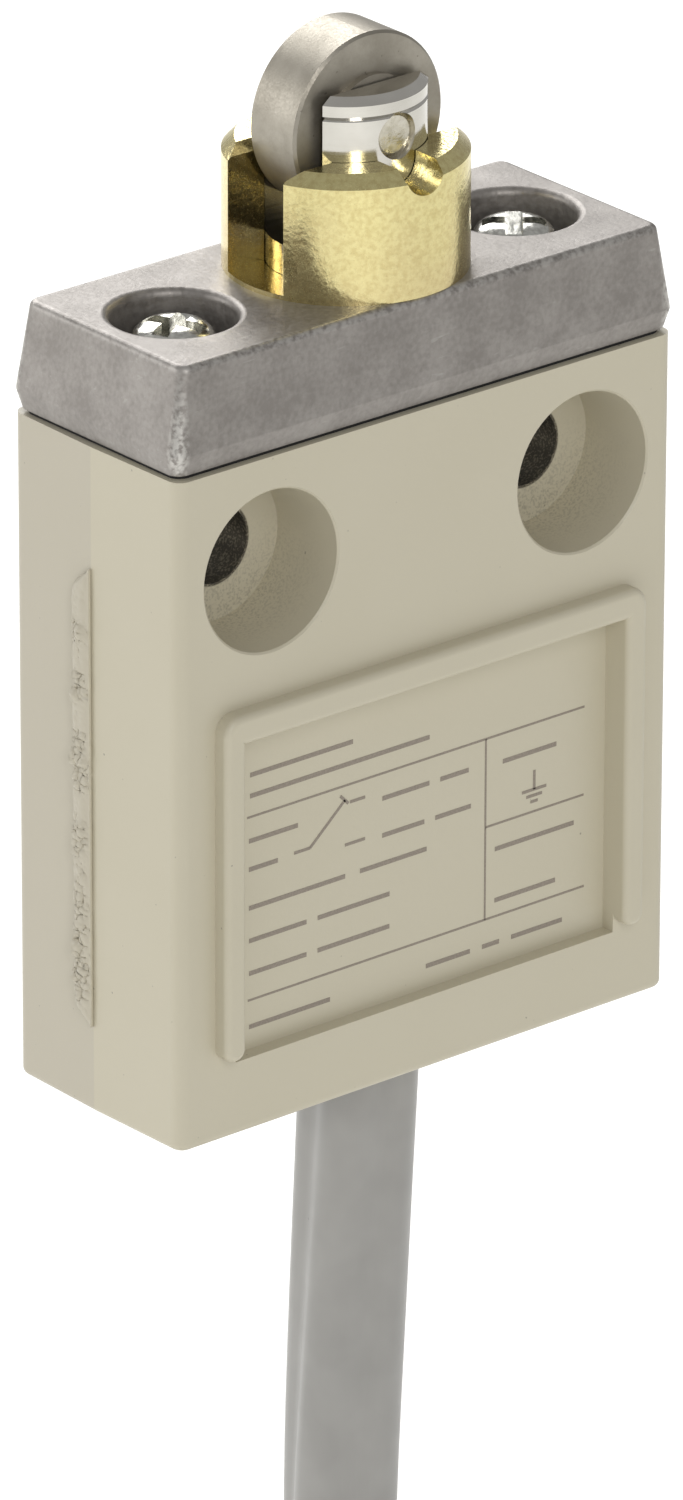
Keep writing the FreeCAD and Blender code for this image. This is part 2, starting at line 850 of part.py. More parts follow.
def potting(taken):
    """Resin that fills the foot of the case round the leads and the cable."""
    body = box(-chamber_half_width, chamber_half_width, axis_y - chamber_half_depth,
               axis_y + chamber_half_depth, case_bottom + potting_recess, potting_top)
    for piece in taken:
        body = body.cut(piece)
    return body


# ---- cable ------------------------------------------------------------------------------------

def smooth_path(points, share=0.45):
    """Straight runs joined by arcs, each arc as large as its two runs allow."""
    route = [V(*p) for p in points]
    edges = []
    radii = []
    length = 0.0
    last = route[0]
    for before, corner, after in zip(route, route[1:], route[2:]):
        back = before - corner
        ahead = after - corner
        turn = math.pi - back.getAngle(ahead)
        reach = share * min(back.Length, ahead.Length)
        radius = reach / math.tan(turn / 2)
        back.normalize()
        ahead.normalize()
        start = corner + back * reach
        end = corner + ahead * reach
        bisector = back + ahead
        bisector.normalize()
        middle = corner + bisector * (math.hypot(radius, reach) - radius)
        edges.append(Part.LineSegment(last, start).toShape())
        edges.append(Part.Arc(start, middle, end).toShape())
        length += (start - last).Length + radius * turn
        radii.append(radius)
        last = end
    edges.append(Part.LineSegment(last, route[-1]).toShape())
    return Part.Wire(edges), radii, length + (route[-1] - last).Length


def tube(name, points, r):
    path, radii, length = smooth_path(points)
    start = V(*points[0])
    profile = Part.Wire(Part.makeCircle(r, start, V(*points[1]) - start))
    body = path.makePipeShell([profile], True, False)
    share = body.Volume / (math.pi * r * r * length)
    print(f"{name} length {length:.1f} volume/section {share:.4f} radii "
          + " ".join(f"{v / (2 * r):.1f}d" for v in radii))
    return body, length


def coil_section(grow):
    """Rounded section through the coil's turns, at the top of the coil, grown by a margin."""
    half_y = coil_half_width + grow
    half_r = coil_half_height + grow
    r = cable_d / 2 + grow
    mid_z = coil_z + coil_mid_r
    block = box(coil_x, coil_x + past, coil_y - half_y, coil_y + half_y, mid_z - half_r, mid_z + half_r)
    along_x = [e for e in block.Edges if near(e.BoundBox.XLength, past)]
    block = block.makeFillet(r, along_x)
    return [f for f in block.Faces if near(f.BoundBox.XMax, coil_x)][0]


def cable_coil():
    return coil_section(0).revolve(V(coil_x, coil_y, coil_z), V(0, 1, 0), 360)


def coil_ties():
    """Bands round the turns, one where the lead joins them and one opposite."""
    span = math.degrees(tie_width / coil_mid_r)
    ties = []
    for angle in tie_angles:
        centre = V(coil_x, coil_y, coil_z)
        band = coil_section(tie_thickness).revolve(centre, V(0, 1, 0), span)
        band = band.cut(coil_section(0).revolve(centre, V(0, 1, 0), span))
        band.rotate(centre, V(0, 1, 0), angle - span / 2)
        ties.append(band)
    return ties


def coil_length():
    """Length of the turns: full outer and inner layers, and one turn fewer between."""
    total = 0.0
    for layer in range(coil_layers):
        turns = coil_columns - layer % 2
        total += turns * 2 * math.pi * (coil_mid_r + (layer - (coil_layers - 1) / 2) * layer_pitch)
    return total


def tail_cores(index):
    """One insulated core past the end of the jacket, and the bare strand in its tip."""
    end = V(*tail_route[-1])
    heading = end - V(*tail_route[-2])
    heading.normalize()
    angle = math.radians(45 + 90 * index)
    side = V(math.cos(angle), math.sin(angle), 0)
    start = end + side * core_circle_r
    ahead = heading * core_lengths[index]
    aside = side * core_spread[index]
    knee = start + ahead * core_knee_at + aside * core_knee_spread
    tip = start + ahead + aside
    final = tip - knee
    final.normalize()
    strand = Part.makeCylinder(strand_r, strand_length, tip, final)
    return wire_run([start, knee, tip], core_r), strand


def build_cable():
    cable, lead_length = tube("cable", cable_route, cable_d / 2)
    tail, tail_length = tube("cable_tail", tail_route, cable_d / 2)
    coil = cable_coil()
    ties = coil_ties()
    outside_cable = cable.cut(coil)
    outside_tail = tail.cut(coil)
    for tie in ties:
        outside_cable = outside_cable.cut(tie)
    print(f"cable in all about {lead_length + tail_length + coil_length():.0f} mm")
    save("cable", outside_cable)
    save("cable_tail", outside_tail)
    save("cable_coil", coil)
    save("coil_ties", Part.makeCompound(ties))
    strands = []
    for index, colour in enumerate(("white", "black", "earth", "red")):
        core, strand = tail_cores(index)
        save(f"core_{colour}", core.cut(tail))
        strands.append(strand)
    save("core_strands", Part.makeCompound(strands))
    return cable


def build():
    os.makedirs("parts", exist_ok=True)
    save("case", case())
    save("head_cover", head_cover())
    save("cover_gasket", cover_gasket())
    save("cover_screws", cover_screws())
    save("guide_sleeve", guide_sleeve())
    save("plunger_seal", plunger_seal())
    save("plunger", plunger())
    save("roller_pin", roller_pin())
    save("roller", roller())
    save("pusher_retainer", pusher_retainer())
    save("diaphragm", diaphragm())
    save("spring_seat", spring_seat())
    save("return_spring", return_spring())
    save("overtravel_spring", overtravel_spring())
    save("pusher", pusher())
    save("pusher_guide", pusher_guide())
    save("switch_base", switch_base())
    save("switch_cover", switch_cover_plate())
    save("switch_seal", switch_seal())
    save("switch_button", switch_button())
    save("snap_blade", snap_blade())
    save("moving_contact", moving_contact())
    save("contact_nc", contact_nc())
    save("contact_no", contact_no())
    for name, shape in zip(("terminal_com", "terminal_no", "terminal_nc"), terminals()):
        save(name, shape)
    wires = leads()
    for name, shape in wires.items():
        save(name, shape)
    save("earth_terminal", earth_terminal())
    save("earth_screw", earth_screw())
    save("insulating_sheet", insulating_sheet())
    cable = build_cable()
    taken = list(wires.values()) + terminals() + [cable, earth_terminal(), earth_screw()]
    save("potting", potting(taken))


build()
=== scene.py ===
import math

import bpy
from mathutils import Matrix, Vector, noise


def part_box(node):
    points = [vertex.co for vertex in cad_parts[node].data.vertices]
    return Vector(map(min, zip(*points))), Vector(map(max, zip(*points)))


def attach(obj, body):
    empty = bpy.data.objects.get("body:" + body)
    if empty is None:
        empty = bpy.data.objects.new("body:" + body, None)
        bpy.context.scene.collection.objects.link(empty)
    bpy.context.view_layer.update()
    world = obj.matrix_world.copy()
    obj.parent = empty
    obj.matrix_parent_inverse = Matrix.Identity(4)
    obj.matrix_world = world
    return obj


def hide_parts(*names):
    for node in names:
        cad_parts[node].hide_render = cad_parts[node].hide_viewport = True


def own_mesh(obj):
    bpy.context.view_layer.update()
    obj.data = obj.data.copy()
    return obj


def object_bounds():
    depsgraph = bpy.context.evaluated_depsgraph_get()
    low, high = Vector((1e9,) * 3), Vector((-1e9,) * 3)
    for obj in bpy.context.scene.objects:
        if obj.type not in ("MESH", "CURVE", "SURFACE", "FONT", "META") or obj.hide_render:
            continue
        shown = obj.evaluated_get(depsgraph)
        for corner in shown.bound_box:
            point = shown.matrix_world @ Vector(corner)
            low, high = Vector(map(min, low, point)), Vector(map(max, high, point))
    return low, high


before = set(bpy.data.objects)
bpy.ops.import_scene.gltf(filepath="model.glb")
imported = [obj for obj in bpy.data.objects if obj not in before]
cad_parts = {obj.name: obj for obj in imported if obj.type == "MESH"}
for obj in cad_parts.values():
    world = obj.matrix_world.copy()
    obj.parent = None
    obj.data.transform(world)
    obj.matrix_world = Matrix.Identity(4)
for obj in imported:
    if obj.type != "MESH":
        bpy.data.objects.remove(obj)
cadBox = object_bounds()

mm = 0.001
scene = bpy.context.scene
scene.view_settings.view_transform = "Standard"  # the studio's whites stay white

view = {
    "aim": (0.0, -8.0, 0.0),  # plunger axis at the height of the mounting holes
    "azimuth": -39.994,  # from straight in front, towards the left side
    "elevation": 23.311,
    "roll": 0.149,
    "distance": 779.58,
    "sideways": -0.225,
    "upwards": -16.461,
    "lens": 303.0,
    "sensor": 36.0,
    "nearest": 0.01,
}


def addCamera():
    azimuth, elevation, roll = (math.radians(view[k]) for k in ("azimuth", "elevation", "roll"))
    back = Vector((
        math.sin(azimuth) * math.cos(elevation),
        -math.cos(azimuth) * math.cos(elevation),
        math.sin(elevation),
    ))
    level = Vector((math.cos(azimuth), math.sin(azimuth), 0.0))
    upright = back.cross(level)
    right = math.cos(roll) * level + math.sin(roll) * upright
    up = back.cross(right)
    place = Vector(view["aim"]) + view["distance"] * back
    place += view["sideways"] * right + view["upwards"] * up
    bpy.ops.object.camera_add()
    camera = bpy.context.object
    camera.data.lens = view["lens"]
    camera.data.sensor_width = view["sensor"]
    camera.data.clip_start = view["nearest"]
    turn = Matrix((right, up, back)).transposed()
    camera.matrix_world = Matrix.Translation(place * mm) @ turn.to_4x4()
    scene.camera = camera
    print("camera placed")


# sRGB hex to the linear colour that a shader takes
def linear(hexColour):
    parts = [int(hexColour[i:i + 2], 16) / 255 for i in (0, 2, 4)]
    return tuple(p / 12.92 if p <= 0.04045 else ((p + 0.055) / 1.055) ** 2.4 for p in parts) + (1.0,)


# adds a shader node, sets it up and links it; gives back its first output that is in use
def addNode(tree, kind, inputs=None, **settings):
    node = tree.nodes.new("ShaderNode" + kind)
    for name, value in settings.items():
        setattr(node, name, value)
    for key, value in (inputs or {}).items():
        if isinstance(key, int):
            socket = node.inputs[key]
        else:
            socket = next(s for s in node.inputs if s.enabled and s.name == key)
        if isinstance(value, bpy.types.NodeSocket):
            tree.links.new(value, socket)
        else:
            socket.default_value = value
    return next((s for s in node.outputs if s.enabled), None)


# a noise's scale for patches of this many millimetres
def perMm(size):
    return 1 / (size * mm)


def newMaterial(name):
    material = bpy.data.materials.new(name)
    material.use_nodes = True
    material.node_tree.nodes.clear()
    return material


studio = {
    "floorSize": 30.0,
    "floorGap": 0.5,  # under the lowest point
    "floorColour": "f6f6f4",
    "floorGlow": 0.3,
    "paperTooth": 0.8,
    "worldColour": "ffffff",
    "worldStrength": 0.36,
    "boxes": [  # place, width, height, power, all aimed at the switch
        {"name": "left", "place": (-0.98, 0.75, 0.32), "width": 0.8, "height": 0.8, "power": 4.5},
        {"name": "front", "place": (-0.55, -1.15, 0.65), "width": 0.30, "height": 0.9, "power": 6.1},
        {"name": "right", "place": (0.95, -0.80, 0.35), "width": 0.5, "height": 0.8, "power": 0.2},
        {"name": "back", "place": (0.35, 1.00, 0.65), "width": 0.9, "height": 0.5, "power": 9.5},
    ],
}


def addStudio():
    world = bpy.data.worlds.new("studio")
    world.use_nodes = True
    background = world.node_tree.nodes["Background"]
    background.inputs["Color"].default_value = linear(studio["worldColour"])
    background.inputs["Strength"].default_value = studio["worldStrength"]
    scene.world = world
    floorZ = cadBox[0][2] - studio["floorGap"] * mm
    bpy.ops.mesh.primitive_plane_add(size=studio["floorSize"], location=(0, 0, floorZ))
    floor = bpy.context.object
    floor.name = "floor"
    paper = newMaterial("matt_white_paper")
    tree = paper.node_tree
    place = addNode(tree, "TexCoord").node.outputs["Object"]
    tooth = addNode(tree, "TexNoise", {"Vector": place, "Scale": perMm(studio["paperTooth"])})
    shader = addNode(tree, "BsdfPrincipled", {
        "Base Color": linear(studio["floorColour"]), "Roughness": 0.9, "Specular IOR Level": 0.1,
        "Emission Color": linear(studio["floorColour"]), "Emission Strength": studio["floorGlow"],
        "Normal": addNode(tree, "Bump", {"Height": tooth, "Distance": 0.02 * mm}),
    })
    addNode(tree, "OutputMaterial", {"Surface": shader})
    floor.data.materials.append(paper)
    for box in studio["boxes"]:
        bpy.ops.object.light_add(type="AREA", location=box["place"])
        lamp = bpy.context.object
        lamp.name = box["name"] + "_softbox"
        lamp.data.shape = "RECTANGLE"
        lamp.data.size = box["width"]
        lamp.data.size_y = box["height"]
        lamp.data.energy = box["power"]
        lamp.rotation_euler = Vector(box["place"]).to_track_quat("Z", "Y").to_euler()
    print("floor and softboxes placed")


# ends a material in one Principled shader and its output
def finishMaterial(material, colour, roughness, normal, metallic=0.0):
    shader = addNode(material.node_tree, "BsdfPrincipled", {
        "Base Color": colour, "Roughness": roughness, "Metallic": metallic, "Normal": normal,
    })
    addNode(material.node_tree, "OutputMaterial", {"Surface": shader})
    return material


enamel = {
    "colour": "c8c1ac",
    "warm": "c5bea8",
    # painted shade: the drafted rear half of the sides, made darker as it turns from the light
    "rearHalfShade": "bfb8a6",
    "bareMetal": "6b675f",
    "grit": "6f6b61",
    "roughness": 0.42,
    "patch": 9.0,
    "peel": 0.55,
    "peelDepth": 0.012,
    "gritGrain": 0.16,
    "nib": 0.35,
    "partingY": -7.8,
    "holeX": 12.5,
    "holeR": 2.75,
    "counterboreR": 5.4,
    "gritFrom": (-15.5, -11.0),  # the counterbore's depth, from its mouth to its floor
    "gritTop": 1.5,  # grit has settled low in the bore
    "gritThick": -3.5,
    "partingSoft": 0.05,  # how wide the boundaries between tones are
    "counterboreSoft": 0.1,
    "holeSoft": 0.08,
}


# beige baked enamel on a zinc die casting: satin, with faint orange peel, gritty where it thins in the bores
def bakedEnamel():
    material = newMaterial("beige_baked_enamel")
    tree = material.node_tree
    place = addNode(tree, "TexCoord").node.outputs["Object"]
    parts = addNode(tree, "SeparateXYZ", {"Vector": place}).node.outputs
    patches = addNode(tree, "TexNoise", {"Vector": place, "Scale": perMm(enamel["patch"]), "Detail": 2.0})
    speckle = addNode(tree, "TexNoise", {"Vector": place, "Scale": perMm(enamel["gritGrain"]), "Detail": 1.0})
    peel = addNode(tree, "TexNoise", {"Vector": place, "Scale": perMm(enamel["peel"]), "Detail": 3.0})
    nibs = addNode(tree, "TexNoise", {"Vector": place, "Scale": perMm(enamel["nib"]), "Detail": 0.0})
    colour = addNode(tree, "Mix", {
        "Factor": patches, "A": linear(enamel["colour"]), "B": linear(enamel["warm"]),
    }, data_type="RGBA")
    # painted shade: behind the parting line the sides' colour is darkened, standing in for the shading of
    # their draft
    rearShade = addNode(tree, "MapRange", {
        "Value": parts["Y"],
        "From Min": (enamel["partingY"] - enamel["partingSoft"]) * mm,
        "From Max": (enamel["partingY"] + enamel["partingSoft"]) * mm,
    })
    colour = addNode(tree, "Mix", {
        "Factor": rearShade, "A": colour, "B": linear(enamel["rearHalfShade"]),
    }, data_type="RGBA")
    # distance from the nearer bore's axis, the two bores being mirrored
    aside = addNode(tree, "Math", {0: parts["X"]}, operation="ABSOLUTE")
    fromHole = addNode(tree, "Math", {0: aside, 1: enamel["holeX"] * mm}, operation="SUBTRACT")
    flat = addNode(tree, "CombineXYZ", {"X": fromHole, "Z": parts["Z"]})
    distance = addNode(tree, "VectorMath", {0: flat}, operation="LENGTH")
    inBore = addNode(tree, "MapRange", {
        "Value": distance,
        "From Min": enamel["counterboreR"] * mm,
        "From Max": (enamel["counterboreR"] - enamel["counterboreSoft"]) * mm,
    })
    deep = addNode(tree, "MapRange", {
        "Value": parts["Y"], "From Min": enamel["gritFrom"][0] * mm, "From Max": enamel["gritFrom"][1] * mm,
    })
    low = addNode(tree, "MapRange", {
        "Value": parts["Z"], "From Min": enamel["gritTop"] * mm, "From Max": enamel["gritThick"] * mm,
    })
    dusty = addNode(tree, "Math", {0: inBore, 1: deep}, operation="MULTIPLY")
    dusty = addNode(tree, "Math", {0: dusty, 1: low}, operation="MULTIPLY")
    specks = addNode(tree, "MapRange", {"Value": speckle, "From Min": 0.45, "From Max": 0.7, "To Max": 0.38})
    gritty = addNode(tree, "Math", {0: dusty, 1: specks}, operation="MULTIPLY")
    colour = addNode(tree, "Mix", {
        "Factor": gritty, "A": colour, "B": linear(enamel["grit"]),
    }, data_type="RGBA")
    # the through holes stay bare, with a little overspray
    bare = addNode(tree, "MapRange", {
        "Value": distance,
        "From Min": enamel["holeR"] * mm, "From Max": (enamel["holeR"] - enamel["holeSoft"]) * mm,
    })
    overspray = addNode(tree, "MapRange", {
        "Value": speckle, "From Min": 0.5, "From Max": 0.66, "To Max": 0.5,
    })
    metalTone = addNode(tree, "Mix", {
        "Factor": overspray, "A": linear(enamel["bareMetal"]), "B": linear(enamel["colour"]),
    }, data_type="RGBA")
    colour = addNode(tree, "Mix", {"Factor": bare, "A": colour, "B": metalTone}, data_type="RGBA")
    dots = addNode(tree, "MapRange", {"Value": nibs, "From Min": 0.87, "From Max": 0.9, "To Max": 0.6})
    colour = addNode(tree, "Mix", {
        "Factor": dots, "A": colour, "B": linear(enamel["grit"]),
    }, data_type="RGBA")
    roughness = addNode(tree, "MapRange", {
        "Value": patches, "From Min": 0.3, "From Max": 0.7,
        "To Min": enamel["roughness"] - 0.05, "To Max": enamel["roughness"] + 0.03,
    })
    metallic = addNode(tree, "Math", {0: bare, 1: 0.75}, operation="MULTIPLY")
    normal = addNode(tree, "Bump", {"Height": peel, "Distance": enamel["peelDepth"] * mm, "Strength": 1.0})
    return finishMaterial(material, colour, roughness, normal, metallic)


casting = {
    "colour": "a39e99",
    "dull": "8c8782",
    "worn": "d2cfc9",
    "roughness": 0.46,
    "metallic": 0.7,
    "cloud": 3.0,
    "cloudDepth": 0.05,
    "skin": 0.35,
    "skinDepth": 0.018,
    "scratch": 0.5,
    "halfWidth": 20.0,
    "halfDepth": 8.0,
    "top": 14.7,
    "sideWear": (1.2, 0.55),  # how far in from an edge the rubbing starts, and where it is full
    "faceWear": (1.0, 0.45),
    "rimWear": (0.5, 0.15),
}


# unpainted zinc die casting, tumbled: mottled grey skin, bright where its edges have rubbed
def tumbledCasting():
    material = newMaterial("tumbled_die_casting")
    tree = material.node_tree
    place = addNode(tree, "TexCoord").node.outputs["Object"]
    parts = addNode(tree, "SeparateXYZ", {"Vector": place}).node.outputs
    cloud = addNode(tree, "TexNoise", {"Vector": place, "Scale": perMm(casting["cloud"]), "Detail": 4.0})
    skin = addNode(tree, "TexNoise", {"Vector": place, "Scale": perMm(casting["skin"]), "Detail": 3.0})
    drawn = addNode(tree, "Mapping", {"Vector": place, "Scale": (0.25, 1.0, 1.6)})
    scratch = addNode(tree, "TexNoise", {"Vector": drawn, "Scale": perMm(casting["scratch"]), "Detail": 2.0})
    mottled = addNode(tree, "Mix", {"Factor": 0.5, "A": cloud, "B": skin})
    mottled = addNode(tree, "MapRange", {"Value": mottled, "From Min": 0.38, "From Max": 0.62})
    colour = addNode(tree, "Mix", {
        "Factor": mottled, "A": linear(casting["dull"]), "B": linear(casting["colour"]),
    }, data_type="RGBA")
    # how near a point is to the cover's upright corners and its top rim
    sideways = addNode(tree, "Math", {0: parts["X"]}, operation="ABSOLUTE")
    centred = addNode(tree, "Math", {0: parts["Y"], 1: casting["halfDepth"] * mm}, operation="ADD")
    across = addNode(tree, "Math", {0: centred}, operation="ABSOLUTE")
    atSide = addNode(tree, "MapRange", {
        "Value": sideways,
        "From Min": (casting["halfWidth"] - casting["sideWear"][0]) * mm,
        "From Max": (casting["halfWidth"] - casting["sideWear"][1]) * mm,
    })
    atFace = addNode(tree, "MapRange", {
        "Value": across,
        "From Min": (casting["halfDepth"] - casting["faceWear"][0]) * mm,
        "From Max": (casting["halfDepth"] - casting["faceWear"][1]) * mm,
    })
    atTop = addNode(tree, "MapRange", {
        "Value": parts["Z"], "To Max": 0.6,
        "From Min": (casting["top"] - casting["rimWear"][0]) * mm,
        "From Max": (casting["top"] - casting["rimWear"][1]) * mm,
    })
    corner = addNode(tree, "Math", {0: atSide, 1: atFace}, operation="MULTIPLY")
    outer = addNode(tree, "Math", {0: atSide, 1: atFace}, operation="MAXIMUM")
    rim = addNode(tree, "Math", {0: outer, 1: atTop}, operation="MULTIPLY")
    edge = addNode(tree, "Math", {0: corner, 1: rim}, operation="MAXIMUM")
    patchy = addNode(tree, "MapRange", {"Value": skin, "From Min": 0.36, "From Max": 0.58, "To Max": 0.9})
    rubbed = addNode(tree, "Math", {0: edge, 1: patchy}, operation="MULTIPLY")
    lines = addNode(tree, "MapRange", {"Value": scratch, "From Min": 0.64, "From Max": 0.72})
    where = addNode(tree, "MapRange", {"Value": cloud, "From Min": 0.5, "From Max": 0.62, "To Max": 0.22})
    scuffs = addNode(tree, "Math", {0: lines, 1: where}, operation="MULTIPLY")
    bright = addNode(tree, "Math", {0: rubbed, 1: scuffs}, operation="MAXIMUM")
    colour = addNode(tree, "Mix", {
        "Factor": bright, "A": colour, "B": linear(casting["worn"]),
    }, data_type="RGBA")
    dull = addNode(tree, "MapRange", {
        "Value": skin, "From Min": 0.3, "From Max": 0.7,
        "To Min": casting["roughness"] - 0.06, "To Max": casting["roughness"] + 0.08,
    })
    polish = addNode(tree, "Math", {0: bright, 1: 0.16}, operation="MULTIPLY")
    roughness = addNode(tree, "Math", {0: dull, 1: polish}, operation="SUBTRACT")
    pitted = addNode(tree, "Bump", {"Height": skin, "Distance": casting["skinDepth"] * mm, "Strength": 1.0})
    normal = addNode(tree, "Bump", {
        "Height": cloud, "Distance": casting["cloudDepth"] * mm, "Strength": 1.0, "Normal": pitted,
    })
    return finishMaterial(material, colour, roughness, normal, casting["metallic"])


chromate = {
    "colour": "ece0a4",
    "deep": "dccd92",
    "tint": "c9b08c",
    "pinhole": "8a7748",
    "roughness": 0.22,
    "bloom": 9.0,
    "peel": 0.36,
    "peelDepth": 0.022,
    "fine": 0.1,
}


# turned steel, zinc plated and yellow passivated: pale gold, a faint pinkish bloom and a fine pebbled gloss
def yellowChromate():
    material = newMaterial("yellow_chromate_zinc")
    tree = material.node_tree
    place = addNode(tree, "TexCoord").node.outputs["Object"]
    peel = addNode(tree, "TexNoise", {"Vector": place, "Scale": perMm(chromate["peel"]), "Detail": 2.0})
    fine = addNode(tree, "TexNoise", {"Vector": place, "Scale": perMm(chromate["fine"]), "Detail": 1.0})
    bloom = addNode(tree, "TexNoise", {"Vector": place, "Scale": perMm(chromate["bloom"]), "Detail": 2.0})
    pebbled = addNode(tree, "MapRange", {"Value": peel, "From Min": 0.35, "From Max": 0.62})
    colour = addNode(tree, "Mix", {
        "Factor": pebbled, "A": linear(chromate["deep"]), "B": linear(chromate["colour"]),
    }, data_type="RGBA")
    tinted = addNode(tree, "MapRange", {"Value": bloom, "From Min": 0.42, "From Max": 0.75, "To Max": 0.5})
    colour = addNode(tree, "Mix", {
        "Factor": tinted, "A": colour, "B": linear(chromate["tint"]),
    }, data_type="RGBA")
    pinholes = addNode(tree, "MapRange", {"Value": peel, "From Min": 0.76, "From Max": 0.8, "To Max": 0.5})
    colour = addNode(tree, "Mix", {
        "Factor": pinholes, "A": colour, "B": linear(chromate["pinhole"]),
    }, data_type="RGBA")
    roughness = addNode(tree, "MapRange", {
        "Value": fine, "From Min": 0.3, "From Max": 0.7,
        "To Min": chromate["roughness"] - 0.05, "To Max": chromate["roughness"] + 0.06,
    })
    normal = addNode(tree, "Bump", {"Height": peel, "Distance": chromate["peelDepth"] * mm, "Strength": 1.0})
    return finishMaterial(material, colour, roughness, normal, 1.0)


polished = {
    "colour": "e3e0d8",
    "haze": "d2cec5",
    "roughness": 0.15,
    "ring": 0.12,
    "ringDepth": 0.0012,
    "hazeSize": 1.6,
}


# ground and polished stainless bar: near mirror, with faint turning rings round its axis
def polishedSteel():
    material = newMaterial("polished_stainless")
    tree = material.node_tree
    place = addNode(tree, "TexCoord").node.outputs["Object"]
    flat = addNode(tree, "Mapping", {"Vector": place, "Scale": (0.05, 0.05, 1.0)})
    rings = addNode(tree, "TexNoise", {"Vector": flat, "Scale": perMm(polished["ring"]), "Detail": 1.0})
    haze = addNode(tree, "TexNoise", {"Vector": place, "Scale": perMm(polished["hazeSize"]), "Detail": 2.0})
    colour = addNode(tree, "Mix", {
        "Factor": haze, "A": linear(polished["haze"]), "B": linear(polished["colour"]),
    }, data_type="RGBA")
    roughness = addNode(tree, "MapRange", {
        "Value": rings, "From Min": 0.3, "From Max": 0.7,
        "To Min": polished["roughness"] - 0.05, "To Max": polished["roughness"] + 0.05,
    })
    normal = addNode(tree, "Bump", {"Height": rings, "Distance": polished["ringDepth"] * mm, "Strength": 1.0})
    return finishMaterial(material, colour, roughness, normal, 1.0)


sintered = {
    "colour": "afa99d",
    "patch": "9c968a",
    "pit": "5a564f",
    "roughness": 0.45,
    "pore": 0.16,
    "poreDepth": 0.008,
    "pitSize": 0.45,
    "patchSize": 2.4,
}


# pressed and sintered stainless: dull warm grey with tiny pores, a little burnished where it rolls
def sinteredSteel():
    material = newMaterial("sintered_stainless")
    tree = material.node_tree
    place = addNode(tree, "TexCoord").node.outputs["Object"]
    pores = addNode(tree, "TexNoise", {"Vector": place, "Scale": perMm(sintered["pore"]), "Detail": 2.0})
    patches = addNode(tree, "TexNoise", {
        "Vector": place, "Scale": perMm(sintered["patchSize"]), "Detail": 3.0,
    })
    spots = addNode(tree, "TexNoise", {"Vector": place, "Scale": perMm(sintered["pitSize"]), "Detail": 1.0})
    tone = addNode(tree, "MapRange", {"Value": patches, "From Min": 0.35, "From Max": 0.65})
    colour = addNode(tree, "Mix", {
        "Factor": tone, "A": linear(sintered["patch"]), "B": linear(sintered["colour"]),
    }, data_type="RGBA")
    pits = addNode(tree, "MapRange", {"Value": spots, "From Min": 0.76, "From Max": 0.8, "To Max": 0.5})
    colour = addNode(tree, "Mix", {
        "Factor": pits, "A": colour, "B": linear(sintered["pit"]),
    }, data_type="RGBA")
    roughness = addNode(tree, "MapRange", {
        "Value": pores, "From Min": 0.3, "From Max": 0.7,
        "To Min": sintered["roughness"] - 0.07, "To Max": sintered["roughness"] + 0.07,
    })
    normal = addNode(tree, "Bump", {"Height": pores, "Distance": sintered["poreDepth"] * mm, "Strength": 1.0})
    return finishMaterial(material, colour, roughness, normal, 0.9)


jacket = {
    "colour": "a19f9b",
    "dull": "9a9894",
    "speck": "6e6b68",
    "roughness": 0.32,
    "soft": 4.0,
    "drag": 0.9,
    "dragDepth": 0.002,
    "speckSize": 0.6,
}


# extruded grey PVC: soft satin with a fine drag in its skin and a few dust specks
def jacketPvc():
    material = newMaterial("extruded_grey_pvc")
    tree = material.node_tree
    place = addNode(tree, "TexCoord").node.outputs["Object"]
    soft = addNode(tree, "TexNoise", {"Vector": place, "Scale": perMm(jacket["soft"]), "Detail": 2.0})
    drag = addNode(tree, "TexNoise", {"Vector": place, "Scale": perMm(jacket["drag"]), "Detail": 2.0})
    dust = addNode(tree, "TexNoise", {"Vector": place, "Scale": perMm(jacket["speckSize"]), "Detail": 0.0})
    tone = addNode(tree, "MapRange", {"Value": soft, "From Min": 0.35, "From Max": 0.65})
    colour = addNode(tree, "Mix", {
        "Factor": tone, "A": linear(jacket["dull"]), "B": linear(jacket["colour"]),
    }, data_type="RGBA")
    specks = addNode(tree, "MapRange", {"Value": dust, "From Min": 0.955, "From Max": 0.97, "To Max": 0.6})
    colour = addNode(tree, "Mix", {
        "Factor": specks, "A": colour, "B": linear(jacket["speck"]),
    }, data_type="RGBA")
    roughness = addNode(tree, "MapRange", {
        "Value": drag, "From Min": 0.3, "From Max": 0.7,
        "To Min": jacket["roughness"] - 0.01, "To Max": jacket["roughness"] + 0.03,
    })
    normal = addNode(tree, "Bump", {"Height": drag, "Distance": jacket["dragDepth"] * mm, "Strength": 1.0})
    return finishMaterial(material, colour, roughness, normal)


earthCore = {
    "green": "3c8339",
    "yellow": "d9c62e",
    "stripe": 0.48,  # half the stripe's width
    "skin": 0.3,
    "skinDepth": 0.004,
    "roughness": 0.4,
}


